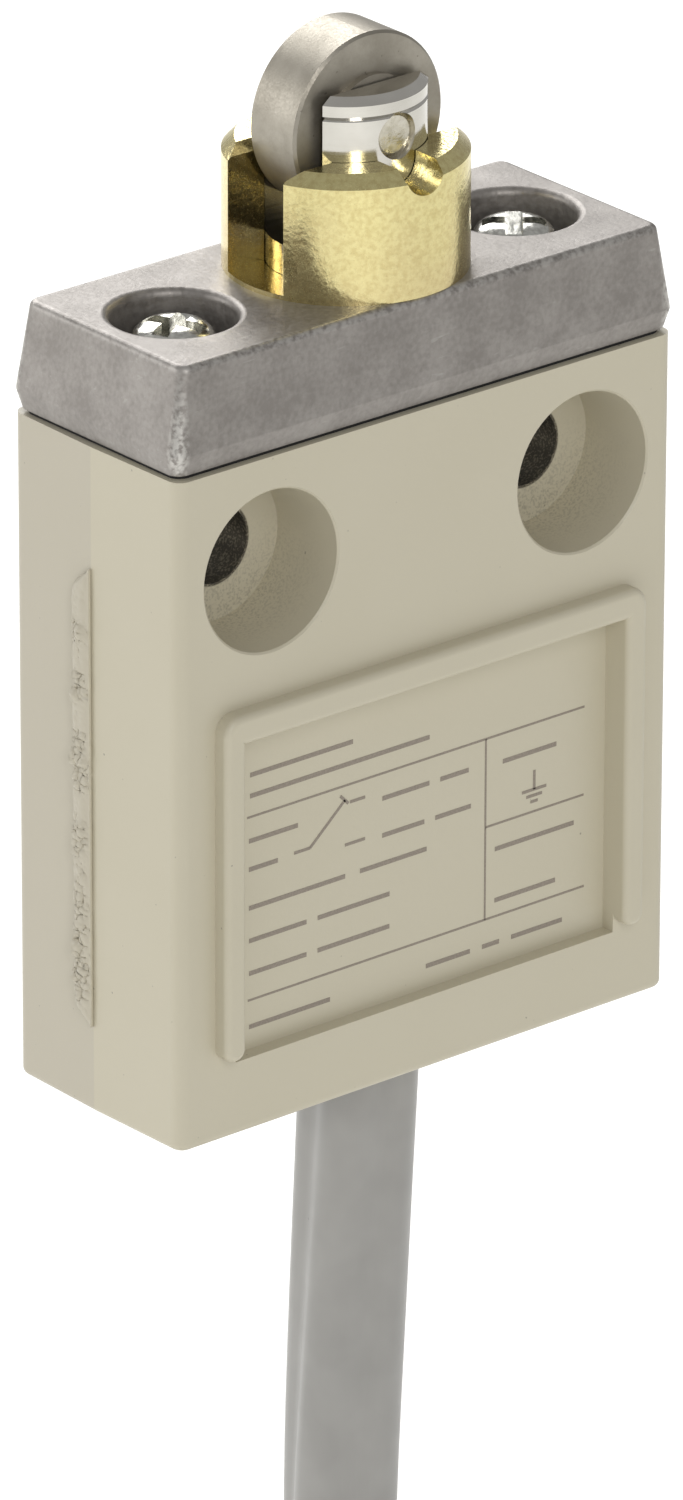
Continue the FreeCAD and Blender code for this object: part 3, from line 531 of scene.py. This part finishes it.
# extruded green insulation with a yellow stripe along it: smooth, slightly waxy
def stripedEarthPvc():
    material = newMaterial("striped_earth_pvc")
    tree = material.node_tree
    place = addNode(tree, "TexCoord").node.outputs["Object"]
    parts = addNode(tree, "SeparateXYZ", {"Vector": place}).node.outputs
    low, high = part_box("core_earth")
    skin = addNode(tree, "TexNoise", {"Vector": place, "Scale": perMm(earthCore["skin"]), "Detail": 2.0})
    middle = addNode(tree, "Math", {0: parts["Y"], 1: (low.y + high.y) / 2}, operation="SUBTRACT")
    aside = addNode(tree, "Math", {0: middle}, operation="ABSOLUTE")
    outside = addNode(tree, "MapRange", {
        "Value": aside,
        "From Min": (earthCore["stripe"] - 0.03) * mm, "From Max": (earthCore["stripe"] + 0.03) * mm,
    })
    colour = addNode(tree, "Mix", {
        "Factor": outside, "A": linear(earthCore["yellow"]), "B": linear(earthCore["green"]),
    }, data_type="RGBA")
    roughness = addNode(tree, "MapRange", {
        "Value": skin, "From Min": 0.3, "From Max": 0.7,
        "To Min": earthCore["roughness"] - 0.05, "To Max": earthCore["roughness"] + 0.05,
    })
    normal = addNode(tree, "Bump", {"Height": skin, "Distance": earthCore["skinDepth"] * mm, "Strength": 1.0})
    return finishMaterial(material, colour, roughness, normal)


grainFinishes = {  # slot: name, colour, darker, metallic, roughness, grain in mm, relief in mm
    # rolled steel screws, zinc plated bright: almost white, softly mirrored, with handling marks
    "zinc_steel": ("bright_zinc_plate", "e2e1da", "c6c5be", 1.0, 0.2, 0.35, 0.006),
    # steel pin with hammered ends: bright and uneven
    "staked_pin": ("staked_steel", "e6e1d3", "c4beac", 1.0, 0.27, 0.7, 0.06),
    # pad printing ink on the enamel: matt grey brown, a little open
    "label_ink": ("pad_printed_ink", "968c7f", "877d71", 0.0, 0.5, 0.12, 0.002),
    # moulded nitrile rubber: matt black
    "nitrile_rubber": ("nitrile_rubber", "232324", "161617", 0.0, 0.6, 0.3, 0.008),
    # cold drawn wire: smooth, grey, faintly streaked
    "spring_steel": ("drawn_spring_steel", "b4b0a8", "948f86", 1.0, 0.3, 0.2, 0.003),
    # moulded phenolic and polyester switch bodies: dark brown, semi gloss
    "phenolic": ("moulded_phenolic", "332c27", "231e1a", 0.0, 0.42, 0.4, 0.006),
    "polyester_brown": ("moulded_polyester", "5f4733", "4c3726", 0.0, 0.48, 0.4, 0.006),
    # moulded acetal button: ivory, waxy
    "acetal": ("moulded_acetal", "e8e4da", "d9d4c8", 0.0, 0.35, 0.5, 0.004),
    # stamped and rolled contact parts: bright, with rolling marks
    "terminal_brass": ("stamped_brass", "cbae66", "ae8f49", 1.0, 0.28, 0.3, 0.004),
    "blade_copper": ("rolled_beryllium_copper", "c98a5c", "ad6f45", 1.0, 0.28, 0.25, 0.003),
    "contact_silver": ("silver_alloy", "dcdad5", "bfbdb7", 1.0, 0.25, 0.2, 0.003),
    # cut polyester film: milky, slightly glossy
    "film_sheet": ("polyester_film", "e3dfcf", "d2cdbb", 0.0, 0.3, 0.8, 0.004),
    # poured epoxy: glossy black with slow waves where it set
    "epoxy_resin": ("poured_epoxy", "262422", "181715", 0.0, 0.24, 2.5, 0.05),
    # extruded core insulation: smooth, slightly waxy
    "pvc_black": ("extruded_black_pvc", "212122", "151515", 0.0, 0.4, 0.3, 0.004),
    "pvc_red": ("extruded_red_pvc", "ad2a22", "8f1d17", 0.0, 0.4, 0.3, 0.004),
    "pvc_white": ("extruded_white_pvc", "e6e4de", "d5d2ca", 0.0, 0.4, 0.3, 0.004),
    # stranded copper: bright orange metal
    "bare_copper": ("bare_copper_strand", "c98257", "a8633d", 1.0, 0.3, 0.2, 0.004),
    # moulded nylon ties: milky white, a little waxy
    "tie_nylon": ("moulded_nylon", "e4e1d6", "d3cfc2", 0.0, 0.4, 0.4, 0.005),
}


# a finish whose tone, gloss and relief all come from one grain
def grainFinish(name, colour, darker, metallic, roughness, size, depth):
    material = newMaterial(name)
    tree = material.node_tree
    place = addNode(tree, "TexCoord").node.outputs["Object"]
    marks = addNode(tree, "TexNoise", {"Vector": place, "Scale": perMm(size), "Detail": 3.0})
    spread = addNode(tree, "MapRange", {"Value": marks, "From Min": 0.35, "From Max": 0.65})
    tone = addNode(tree, "Mix", {
        "Factor": spread, "A": linear(darker), "B": linear(colour),
    }, data_type="RGBA")
    gloss = addNode(tree, "MapRange", {
        "Value": spread, "To Min": roughness - 0.05, "To Max": roughness + 0.07,
    })
    normal = addNode(tree, "Bump", {"Height": marks, "Distance": depth * mm, "Strength": 1.0})
    return finishMaterial(material, tone, gloss, normal, metallic)


def addMaterials():
    made = {slot: grainFinish(*values) for slot, values in grainFinishes.items()}
    made["painted_case"] = bakedEnamel()
    made["die_cast"] = tumbledCasting()
    made["yellow_chromate"] = yellowChromate()
    made["polished_steel"] = polishedSteel()
    made["sintered_steel"] = sinteredSteel()
    made["pvc_grey"] = jacketPvc()
    made["pvc_green_yellow"] = stripedEarthPvc()
    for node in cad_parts.values():
        for place in node.material_slots:
            place.material = made[place.material.name]
    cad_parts["roller_pin"].material_slots[0].material = made["staked_pin"]
    print("materials on the CAD nodes")
    return made


cable = {
    "diameter": 7.6,
    "length": 3000.0,
    "route": [
        (0.95, -8.75, -33.0),
        (0.25, -8.3, -53.0),
        (-0.45, -8.05, -73.0),
        (0.3, -7.9, -91.0),
        (8.6, -7.7, -108.0),
        (22.4, -7.6, -119.5),
        (32.55, -7.6, -125.85),
    ],
    "exit": (0.83, -8.68, -36.4),
    "coilCentre": (7.3, -166.2),
    "firstTurn": 32.0,  # clockwise from the top, where the lead meets the outer layer
    "lastTurn": 60.0,
    "crossFrom": -42.0,  # the turns step to their next seats between these two angles
    "crossTo": 8.0,
    "outerR": 47.58,
    "middleR": 41.0,
    "innerR": 34.42,
    "swell": 1.02,  # how far a turn rises where it steps over the layer below
    "pointsPerTurn": 24,
    "stepsPerPoint": 6,
    "tail": [
        (37.1, -30.4, -149.0),
        (41.9, -34.2, -164.7),
        (43.2, -38.2, -181.2),
        (42.6, -39.1, -198.2),
        (42.2, -38.9, -214.2),
    ],
    "cores": 4,
    "sidesPerCore": 12,
    "lobe": 0.7,  # how far the jacket dips between the twisted cores
    "lay": 600.0,  # one full twist of the cores
    "startTwist": 16.0,  # degrees, where the first groove lies at the exit
}


# Y, radius and swell of each turn, from the outer layer's back to the inner layer's front
def coilSeats():
    outer = [(y, cable["outerR"], cable["swell"]) for y in (-7.6, -15.2, -22.8, -30.4)]
    middle = [(y, cable["middleR"], 0.0) for y in (-26.6, -19.0, -11.4)]
    inner = [(y, cable["innerR"], -cable["swell"]) for y in (-7.6, -15.2, -22.8, -30.4)]
    return outer + middle + inner


def smooth(share):
    share = min(max(share, 0.0), 1.0)
    return share * share * (3 - 2 * share)


def coilPoints():
    seats = coilSeats()
    centreX, centreZ = cable["coilCentre"]
    step = 360 / cable["pointsPerTurn"]
    pull = math.cos(math.pi / cable["pointsPerTurn"])  # the spline runs inside its points by this much
    count = int((len(seats) * 360 + cable["lastTurn"] - cable["firstTurn"]) / step)
    points = []
    for i in range(1, count):
        angle = cable["firstTurn"] + i * step
        turn = int((angle - cable["crossTo"]) // 360)
        turned = angle - 360 * turn
        y, r, swell = seats[min(turn, len(seats) - 1)]
        share = (turned - 360 - cable["crossFrom"]) / (cable["crossTo"] - cable["crossFrom"])
        if share > 0 and turn + 1 < len(seats):
            nextY, nextR = seats[turn + 1][:2]
            if nextR == r:
                shareY, shareR = smooth(share), 0.0
                r += swell * math.sin(math.pi * share)
            elif swell > 0:  # off the outer layer: sinks first, then moves over
                shareY, shareR = smooth(2 * share - 1), smooth(2 * share)
            else:
                shareY, shareR = smooth(2 * share), smooth(2 * share - 1)
            y += (nextY - y) * shareY
            r += (nextR - r) * shareR
        a = math.radians(angle)
        points.append((centreX + r / pull * math.sin(a), y, centreZ + r / pull * math.cos(a)))
    return points


# the jacket's outline, drawn in a little between the cores
def jacketSection():
    curve = bpy.data.curves.new("jacket_section", "CURVE")
    outline = curve.splines.new("POLY")
    sides = cable["sidesPerCore"] * cable["cores"]
    outline.points.add(sides - 1)
    for i, point in enumerate(outline.points):
        a = 2 * math.pi * i / sides
        groove = ((1 - math.cos(cable["cores"] * a)) / 2) ** 2
        r = cable["diameter"] / 2 - cable["lobe"] * groove
        point.co = (r * math.cos(a) * mm, r * math.sin(a) * mm, 0, 1)
    outline.use_cyclic_u = True
    return bpy.data.objects.new("jacket_section", curve)


def addCable(material):
    points = [Vector(p) for p in cable["route"] + coilPoints() + cable["tail"]]
    curve = bpy.data.curves.new("cable_cord", "CURVE")
    curve.dimensions = "3D"
    spline = curve.splines.new("NURBS")
    spline.points.add(len(points) - 1)
    along = 0.0
    for i, point in enumerate(spline.points):
        along += (points[i] - points[max(i - 1, 0)]).length
        point.co = (*(points[i] * mm), 1.0)
        point.tilt = 2 * math.pi * along / cable["lay"] + math.radians(cable["startTwist"])
    spline.order_u = 3
    spline.use_endpoint_u = True
    spline.resolution_u = cable["stepsPerPoint"]
    curve.bevel_mode = "OBJECT"
    curve.bevel_object = jacketSection()
    curve.use_fill_caps = True
    cord = bpy.data.objects.new("cable_cord", curve)
    scene.collection.objects.link(cord)
    cord.data.materials.append(material)
    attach(cord, "housing")
    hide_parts("cable", "cable_coil", "cable_tail")
    print("cable laid,", len(points), "points")


def startPiece():
    if bpy.context.object and bpy.context.object.mode != "OBJECT":
        bpy.ops.object.mode_set(mode="OBJECT")
    bpy.ops.object.select_all(action="DESELECT")


# every modifier and the object's place go into its mesh
def applyAll(piece):
    startPiece()
    piece.select_set(True)
    bpy.context.view_layer.objects.active = piece
    for modifier in list(piece.modifiers):
        bpy.ops.object.modifier_apply(modifier=modifier.name)
    bpy.ops.object.transform_apply(location=True, rotation=True, scale=True)


def joinPieces(parts, name):
    startPiece()
    for part in parts:
        part.select_set(True)
    bpy.context.view_layer.objects.active = parts[0]
    if len(parts) > 1:
        bpy.ops.object.join()
    parts[0].name = name
    return parts[0]


def dress(piece, body, material):
    piece.data.materials.clear()
    piece.data.materials.append(material)
    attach(piece, body)
    return piece


label = {
    "panelY": -15.0,
    "film": 0.02,
    "ruleWidth": 0.14,
    "rules": [  # from x, z to x, z
        (-13.65, -16.4, 13.7, -16.4), (5.6, -16.4, 5.6, -28.7), (5.6, -22.4, 13.7, -22.4),
        (-13.6, -28.7, 13.8, -28.7),
    ],
    "symbolWidth": 0.2,
    "symbol": [  # changeover contact, and the earth sign in the right-hand box
        (-9.9, -19.8, -8.62, -19.8), (-8.62, -19.8, -5.82, -17.36), (-5.42, -17.6, -4.2, -17.6),
        (-5.82, -20.4, -4.2, -20.4), (-6.2, -17.0, -5.55, -17.65), (9.6, -19.6, 9.6, -20.9),
        (8.6, -20.9, 10.6, -20.9), (8.95, -21.3, 10.25, -21.3), (9.3, -21.7, 9.9, -21.7),
    ],
    "entryWidth": 0.3,
    "entries": [  # blank entry marks: from x, to x, z
        (-13.5, -9.6, -18.0), (-2.8, 1.0, -18.1), (1.9, 4.2, -18.1), (-13.5, -11.2, -19.9),
        (-2.8, 0.6, -20.6), (1.5, 4.4, -20.6), (-13.5, -5.8, -22.5), (-4.6, 0.8, -22.5),
        (-13.5, -8.9, -24.7), (-8.0, -2.2, -24.7), (-13.5, -8.9, -26.9), (-8.0, -2.2, -26.9),
        (7.0, 11.4, -18.3), (6.4, 12.9, -24.1), (6.4, 11.4, -27.6), (0.8, 4.4, -30.5),
        (5.4, 6.8, -30.5), (7.8, 12.0, -30.5), (-13.5, -7.0, -30.5), (-13.4, -5.2, -13.6),
        (-13.4, 1.0, -15.0),
    ],
}


def inkStroke(x0, z0, x1, z1, width):
    startPiece()
    middle = ((x0 + x1) / 2 * mm, label["panelY"] * mm, (z0 + z1) / 2 * mm)
    slope = math.atan2(z1 - z0, x1 - x0)
    bpy.ops.mesh.primitive_plane_add(size=mm, location=middle, rotation=(math.pi / 2, -slope, 0))
    stroke = bpy.context.object
    stroke.scale = (math.hypot(x1 - x0, z1 - z0), width, 1)
    bpy.ops.object.transform_apply(location=True, rotation=True, scale=True)
    return stroke


def addLabel(material):
    strokes = [inkStroke(*rule, label["ruleWidth"]) for rule in label["rules"]]
    strokes += [inkStroke(*line, label["symbolWidth"]) for line in label["symbol"]]
    strokes += [inkStroke(x0, z, x1, z, label["entryWidth"]) for x0, x1, z in label["entries"]]
    printed = joinPieces(strokes, "label_print")
    film = printed.modifiers.new("film", "SOLIDIFY")
    film.thickness = label["film"] * mm
    film.offset = 1
    applyAll(printed)
    dress(printed, "housing", material)
    print("label printed")


scar = {
    "sideX": -20.0,
    "front": -7.8,
    "width": 1.4,
    "noseWidth": 0.05,  # share of the width left at each end
    "top": -0.5,
    "bottom": -31.1,
    "nose": 1.8,
    "height": 0.2,
    "sunk": 0.04,  # so that its rim is under the paint
    "rough": 0.3,
    "calm": 0.25,  # share of the roughness outside the torn places
    "grain": [  # strength, noise rate across and along, seed
        (1.0, 1.9, 1.1, 3.0), (0.9, 4.5, 3.4, 9.0),
    ],
    "chipRate": 0.45,
    "chipSeed": 20.0,
    "chipMore": 0.05,
    "chipSharp": 3,
    "frontSlope": 0.6,
    "rearSlope": 0.14,
    "backing": 0.3,
    "across": 16,
    "along": 300,
}


# where the casting's gate was broken off: a long rough pad, painted over
def addGateScar(material):
    startPiece()
    bpy.ops.mesh.primitive_grid_add(x_subdivisions=scar["across"], y_subdivisions=scar["along"], size=1)
    pad = bpy.context.object
    pad.name = "gate_scar"
    for vertex in pad.data.vertices:
        u, v = vertex.co.x + 0.5, vertex.co.y + 0.5
        z = scar["bottom"] + v * (scar["top"] - scar["bottom"])
        toEnd = min(scar["top"] - z, z - scar["bottom"])
        width = scar["width"] * (scar["noseWidth"] + (1 - scar["noseWidth"]) * smooth(toEnd / scar["nose"]))
        y = scar["front"] + u * width
        edge = smooth(u * width / scar["frontSlope"]) * smooth((1 - u) * width / scar["rearSlope"])
        edge *= smooth(toEnd / scar["frontSlope"])
        torn = 0.0
        for strength, across, along, seed in scar["grain"]:
            torn += strength * noise.noise(Vector((y * across, z * along, seed)))
        chip = noise.noise(Vector((0.5, z * scar["chipRate"], scar["chipSeed"])))
        chips = smooth((chip + scar["chipMore"]) * scar["chipSharp"])  # torn only in places
        height = edge * (scar["height"] + scar["rough"] * torn * (scar["calm"] + chips)) - scar["sunk"]
        vertex.co = (scar["sideX"] * mm - height * mm, y * mm, z * mm)
    backing = pad.modifiers.new("backing", "SOLIDIFY")
    backing.thickness = scar["backing"] * mm
    applyAll(pad)
    bpy.ops.object.mode_set(mode="EDIT")
    bpy.ops.mesh.select_all(action="SELECT")
    bpy.ops.mesh.normals_make_consistent(inside=False)
    bpy.ops.object.mode_set(mode="OBJECT")
    bpy.ops.object.shade_smooth()
    dress(pad, "housing", material)
    print("gate scar on the side")


springs = {
    "return_spring": {"wireR": 0.275, "coils": 5, "body": "housing", "fixed": "bottom", "share": 1.0},
    "overtravel_spring": {"wireR": 0.175, "coils": 4, "body": "plunger", "fixed": "top", "share": 0.646},
    "sides": 12,
    "steps": 32,
    "merge": 0.001,
}


# wound wire, to the CAD part's length, for a spring that shortens as the plunger goes down; share is how much
# of the travel it takes
def addSpring(node, material):
    size = springs[node]
    low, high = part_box(node)
    wire = size["wireR"] * mm
    meanR = (high.x - low.x) / 2 - wire
    startPiece()
    bpy.ops.mesh.primitive_circle_add(
        vertices=springs["sides"], radius=wire, rotation=(math.pi / 2, 0, 0), location=(meanR, 0, 0))
    spring = bpy.context.object
    spring.name = node + "_wire"
    bpy.ops.object.transform_apply(location=True, rotation=True, scale=True)
    winding = spring.modifiers.new("winding", "SCREW")
    winding.screw_offset = (high.z - low.z - 2 * wire) / size["coils"]
    winding.iterations = size["coils"]
    winding.steps = winding.render_steps = springs["steps"]
    spring.location = ((low.x + high.x) / 2, (low.y + high.y) / 2, low.z + wire)
    applyAll(spring)
    bpy.ops.object.mode_set(mode="EDIT")
    bpy.ops.mesh.select_all(action="SELECT")
    bpy.ops.mesh.remove_doubles(threshold=springs["merge"] * mm)
    bpy.ops.mesh.fill_holes(sides=0)
    bpy.ops.mesh.select_all(action="SELECT")
    bpy.ops.mesh.normals_make_consistent(inside=False)
    bpy.ops.object.mode_set(mode="OBJECT")
    bpy.ops.object.shade_smooth()
    dress(spring, size["body"], material)
    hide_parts(node)
    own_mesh(spring)
    print(spring.name, "wound")


tie = {
    "angles": (38.0, 218.0),  # clockwise from the coil's top
    "midR": 41.0,
    "midY": -19.0,
    "innerWidth": 30.8,
    "innerDepth": 21.2,
    "cornerR": 5.0,
    "thickness": 1.2,
    "width": 7.6,
    "cornerSteps": 8,
    "head": (11.0, 5.2, 10.0),
    "headAt": -6.0,
    "mouthWall": 1.4,
    "mouthDepth": 3.0,
    "tail": 9.0,
    "tailInside": 2.0,
    "tailStraight": 3.0,
    "tailCurl": 0.06,
    "tailCuts": 3,
    "edge": 0.3,
    "edgeSteps": 2,
    "smoothAngle": 35.0,
}


# nylon strap pulled round the turns, with its ratchet head and the cut end standing out of it
def addTie(index, material):
    half = tie["innerDepth"] / 2 + tie["thickness"]
    startPiece()
    bpy.ops.mesh.primitive_plane_add(size=mm, location=(0, 0, -tie["width"] / 2 * mm))
    strap = bpy.context.object
    strap.scale = (tie["innerWidth"] + 2 * tie["thickness"], 2 * half, 1)
    bpy.ops.object.transform_apply(location=True, rotation=True, scale=True)
    bpy.ops.object.mode_set(mode="EDIT")
    bpy.ops.mesh.select_all(action="SELECT")
    bpy.ops.mesh.bevel(offset=tie["cornerR"] * mm, segments=tie["cornerSteps"], affect="VERTICES")
    bpy.ops.mesh.inset(thickness=tie["thickness"] * mm)
    bpy.ops.mesh.delete(type="FACE")
    bpy.ops.mesh.select_all(action="SELECT")
    bpy.ops.mesh.extrude_region_move(TRANSFORM_OT_translate={"value": (0, 0, tie["width"] * mm)})
    bpy.ops.mesh.select_all(action="SELECT")
    bpy.ops.mesh.normals_make_consistent(inside=False)
    bpy.ops.object.mode_set(mode="OBJECT")
    startPiece()
    headY = half + tie["head"][1] / 2
    bpy.ops.mesh.primitive_cube_add(size=mm, location=(tie["headAt"] * mm, headY * mm, 0))
    head = bpy.context.object
    head.scale = tie["head"]
    bpy.ops.object.transform_apply(location=True, rotation=True, scale=True)
    bpy.ops.object.mode_set(mode="EDIT")
    bpy.ops.mesh.select_all(action="DESELECT")
    bpy.ops.object.mode_set(mode="OBJECT")
    for face in head.data.polygons:  # the mouth that the strap comes out of
        face.select = face.normal.x > 0.9
    bpy.ops.object.mode_set(mode="EDIT")
    bpy.ops.mesh.inset(thickness=tie["mouthWall"] * mm)
    bpy.ops.mesh.extrude_region_move(TRANSFORM_OT_translate={"value": (-tie["mouthDepth"] * mm, 0, 0)})
    bpy.ops.object.mode_set(mode="OBJECT")
    startPiece()
    endX = tie["headAt"] + tie["head"][0] / 2 + tie["tail"] / 2 - tie["tailInside"]
    bpy.ops.mesh.primitive_cube_add(size=mm, location=(endX * mm, headY * mm, 0))
    end = bpy.context.object
    end.scale = (tie["tail"], tie["thickness"], tie["width"] - tie["mouthWall"])
    bpy.ops.object.transform_apply(location=True, rotation=True, scale=True)
    bpy.ops.object.mode_set(mode="EDIT")
    bpy.ops.mesh.select_all(action="SELECT")
    bpy.ops.mesh.subdivide(number_cuts=tie["tailCuts"])
    bpy.ops.object.mode_set(mode="OBJECT")
    for vertex in end.data.vertices:  # the end curls up a little
        out = max(0.0, vertex.co.x - end.bound_box[0][0] - tie["tailStraight"] * mm)
        vertex.co.y += tie["tailCurl"] * out * out / mm
    whole = joinPieces([strap, head, end], f"cable_tie_{index + 1}")
    edges = whole.modifiers.new("edges", "BEVEL")
    edges.width = tie["edge"] * mm
    edges.segments = tie["edgeSteps"]
    edges.limit_method = "ANGLE"
    applyAll(whole)
    a = math.radians(tie["angles"][index])
    outwards = Vector((math.sin(a), 0, math.cos(a)))
    along = Vector((math.cos(a), 0, -math.sin(a)))
    centreX, centreZ = cable["coilCentre"]
    centre = Vector((centreX, tie["midY"], centreZ)) + tie["midR"] * outwards
    turn = Matrix((Vector((0, 1, 0)), outwards, along)).transposed()
    whole.matrix_world = Matrix.Translation(centre * mm) @ turn.to_4x4()
    applyAll(whole)
    bpy.ops.object.shade_smooth_by_angle(angle=math.radians(tie["smoothAngle"]))
    dress(whole, "housing", material)
    print(whole.name, "pulled tight")
    return whole


strands = {
    "coreCircleR": 1.5,
    "lengths": (30.0, 26.0, 33.0, 28.0),
    "spread": (2.2, 3.4, 2.8, 4.0),
    "kneeAt": 0.4,
    "kneeSpread": 0.25,
    "wireR": 0.17,
    "wireSides": 10,
    "ringWires": 6,  # round one in the middle
    "ringR": 2.1,  # in wire radii
    "length": 6.0,
    "steps": 12,
    "twist": 150.0,
    "inCore": 0.3,
    "smoothAngle": 35.0,
}


# seven copper wires twisted together where a core is stripped
def addStrands(index, material):
    wires = []
    for i in range(strands["ringWires"] + 1):
        startPiece()
        a = 2 * math.pi * i / strands["ringWires"]
        r = 0.0 if i == strands["ringWires"] else strands["ringR"] * strands["wireR"] * mm
        bpy.ops.mesh.primitive_cylinder_add(
            vertices=strands["wireSides"], radius=strands["wireR"] * mm, depth=strands["length"] * mm,
            location=(r * math.cos(a), r * math.sin(a), 0))
        wire = bpy.context.object
        bpy.ops.object.transform_apply(location=True, rotation=True, scale=True)
        bpy.ops.object.mode_set(mode="EDIT")
        for cut in range(1, strands["steps"]):
            bpy.ops.mesh.select_all(action="SELECT")
            height = (cut / strands["steps"] - 0.5) * strands["length"] * mm
            bpy.ops.mesh.bisect(plane_co=(0, 0, height), plane_no=(0, 0, 1))
        bpy.ops.object.mode_set(mode="OBJECT")
        wires.append(wire)
    bundle = joinPieces(wires, f"core_strands_{index + 1}")
    for vertex in bundle.data.vertices:
        a = math.radians(strands["twist"]) * vertex.co.z / (strands["length"] * mm)
        x, y = vertex.co.x, vertex.co.y
        vertex.co.x = x * math.cos(a) - y * math.sin(a)
        vertex.co.y = x * math.sin(a) + y * math.cos(a)
    end = Vector(cable["tail"][-1])
    heading = (end - Vector(cable["tail"][-2])).normalized()
    a = math.radians(45 + 90 * index)
    side = Vector((math.cos(a), math.sin(a), 0))
    start = end + side * strands["coreCircleR"]
    ahead = heading * strands["lengths"][index]
    aside = side * strands["spread"][index]
    knee = start + ahead * strands["kneeAt"] + aside * strands["kneeSpread"]
    tip = start + ahead + aside
    direction = (tip - knee).normalized()
    bundle.rotation_euler = direction.to_track_quat("Z", "Y").to_euler()
    bundle.location = (tip + direction * (strands["length"] / 2 - strands["inCore"])) * mm
    applyAll(bundle)
    bpy.ops.object.shade_smooth_by_angle(angle=math.radians(strands["smoothAngle"]))
    return dress(bundle, "housing", material)


def addCoreEnds(material):
    ends = [addStrands(i, material) for i in range(cable["cores"])]
    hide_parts("core_strands")
    print("core ends stripped")
    return ends


addCamera()
addStudio()
made = addMaterials()
ties = [addTie(i, made["tie_nylon"]) for i in range(len(tie["angles"]))]
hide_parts("coil_ties")
coreEnds = addCoreEnds(made["bare_copper"])
addCable(made["pvc_grey"])
addLabel(made["label_ink"])
addGateScar(made["painted_case"])
for node in ("return_spring", "overtravel_spring"):
    addSpring(node, made["spring_steel"])
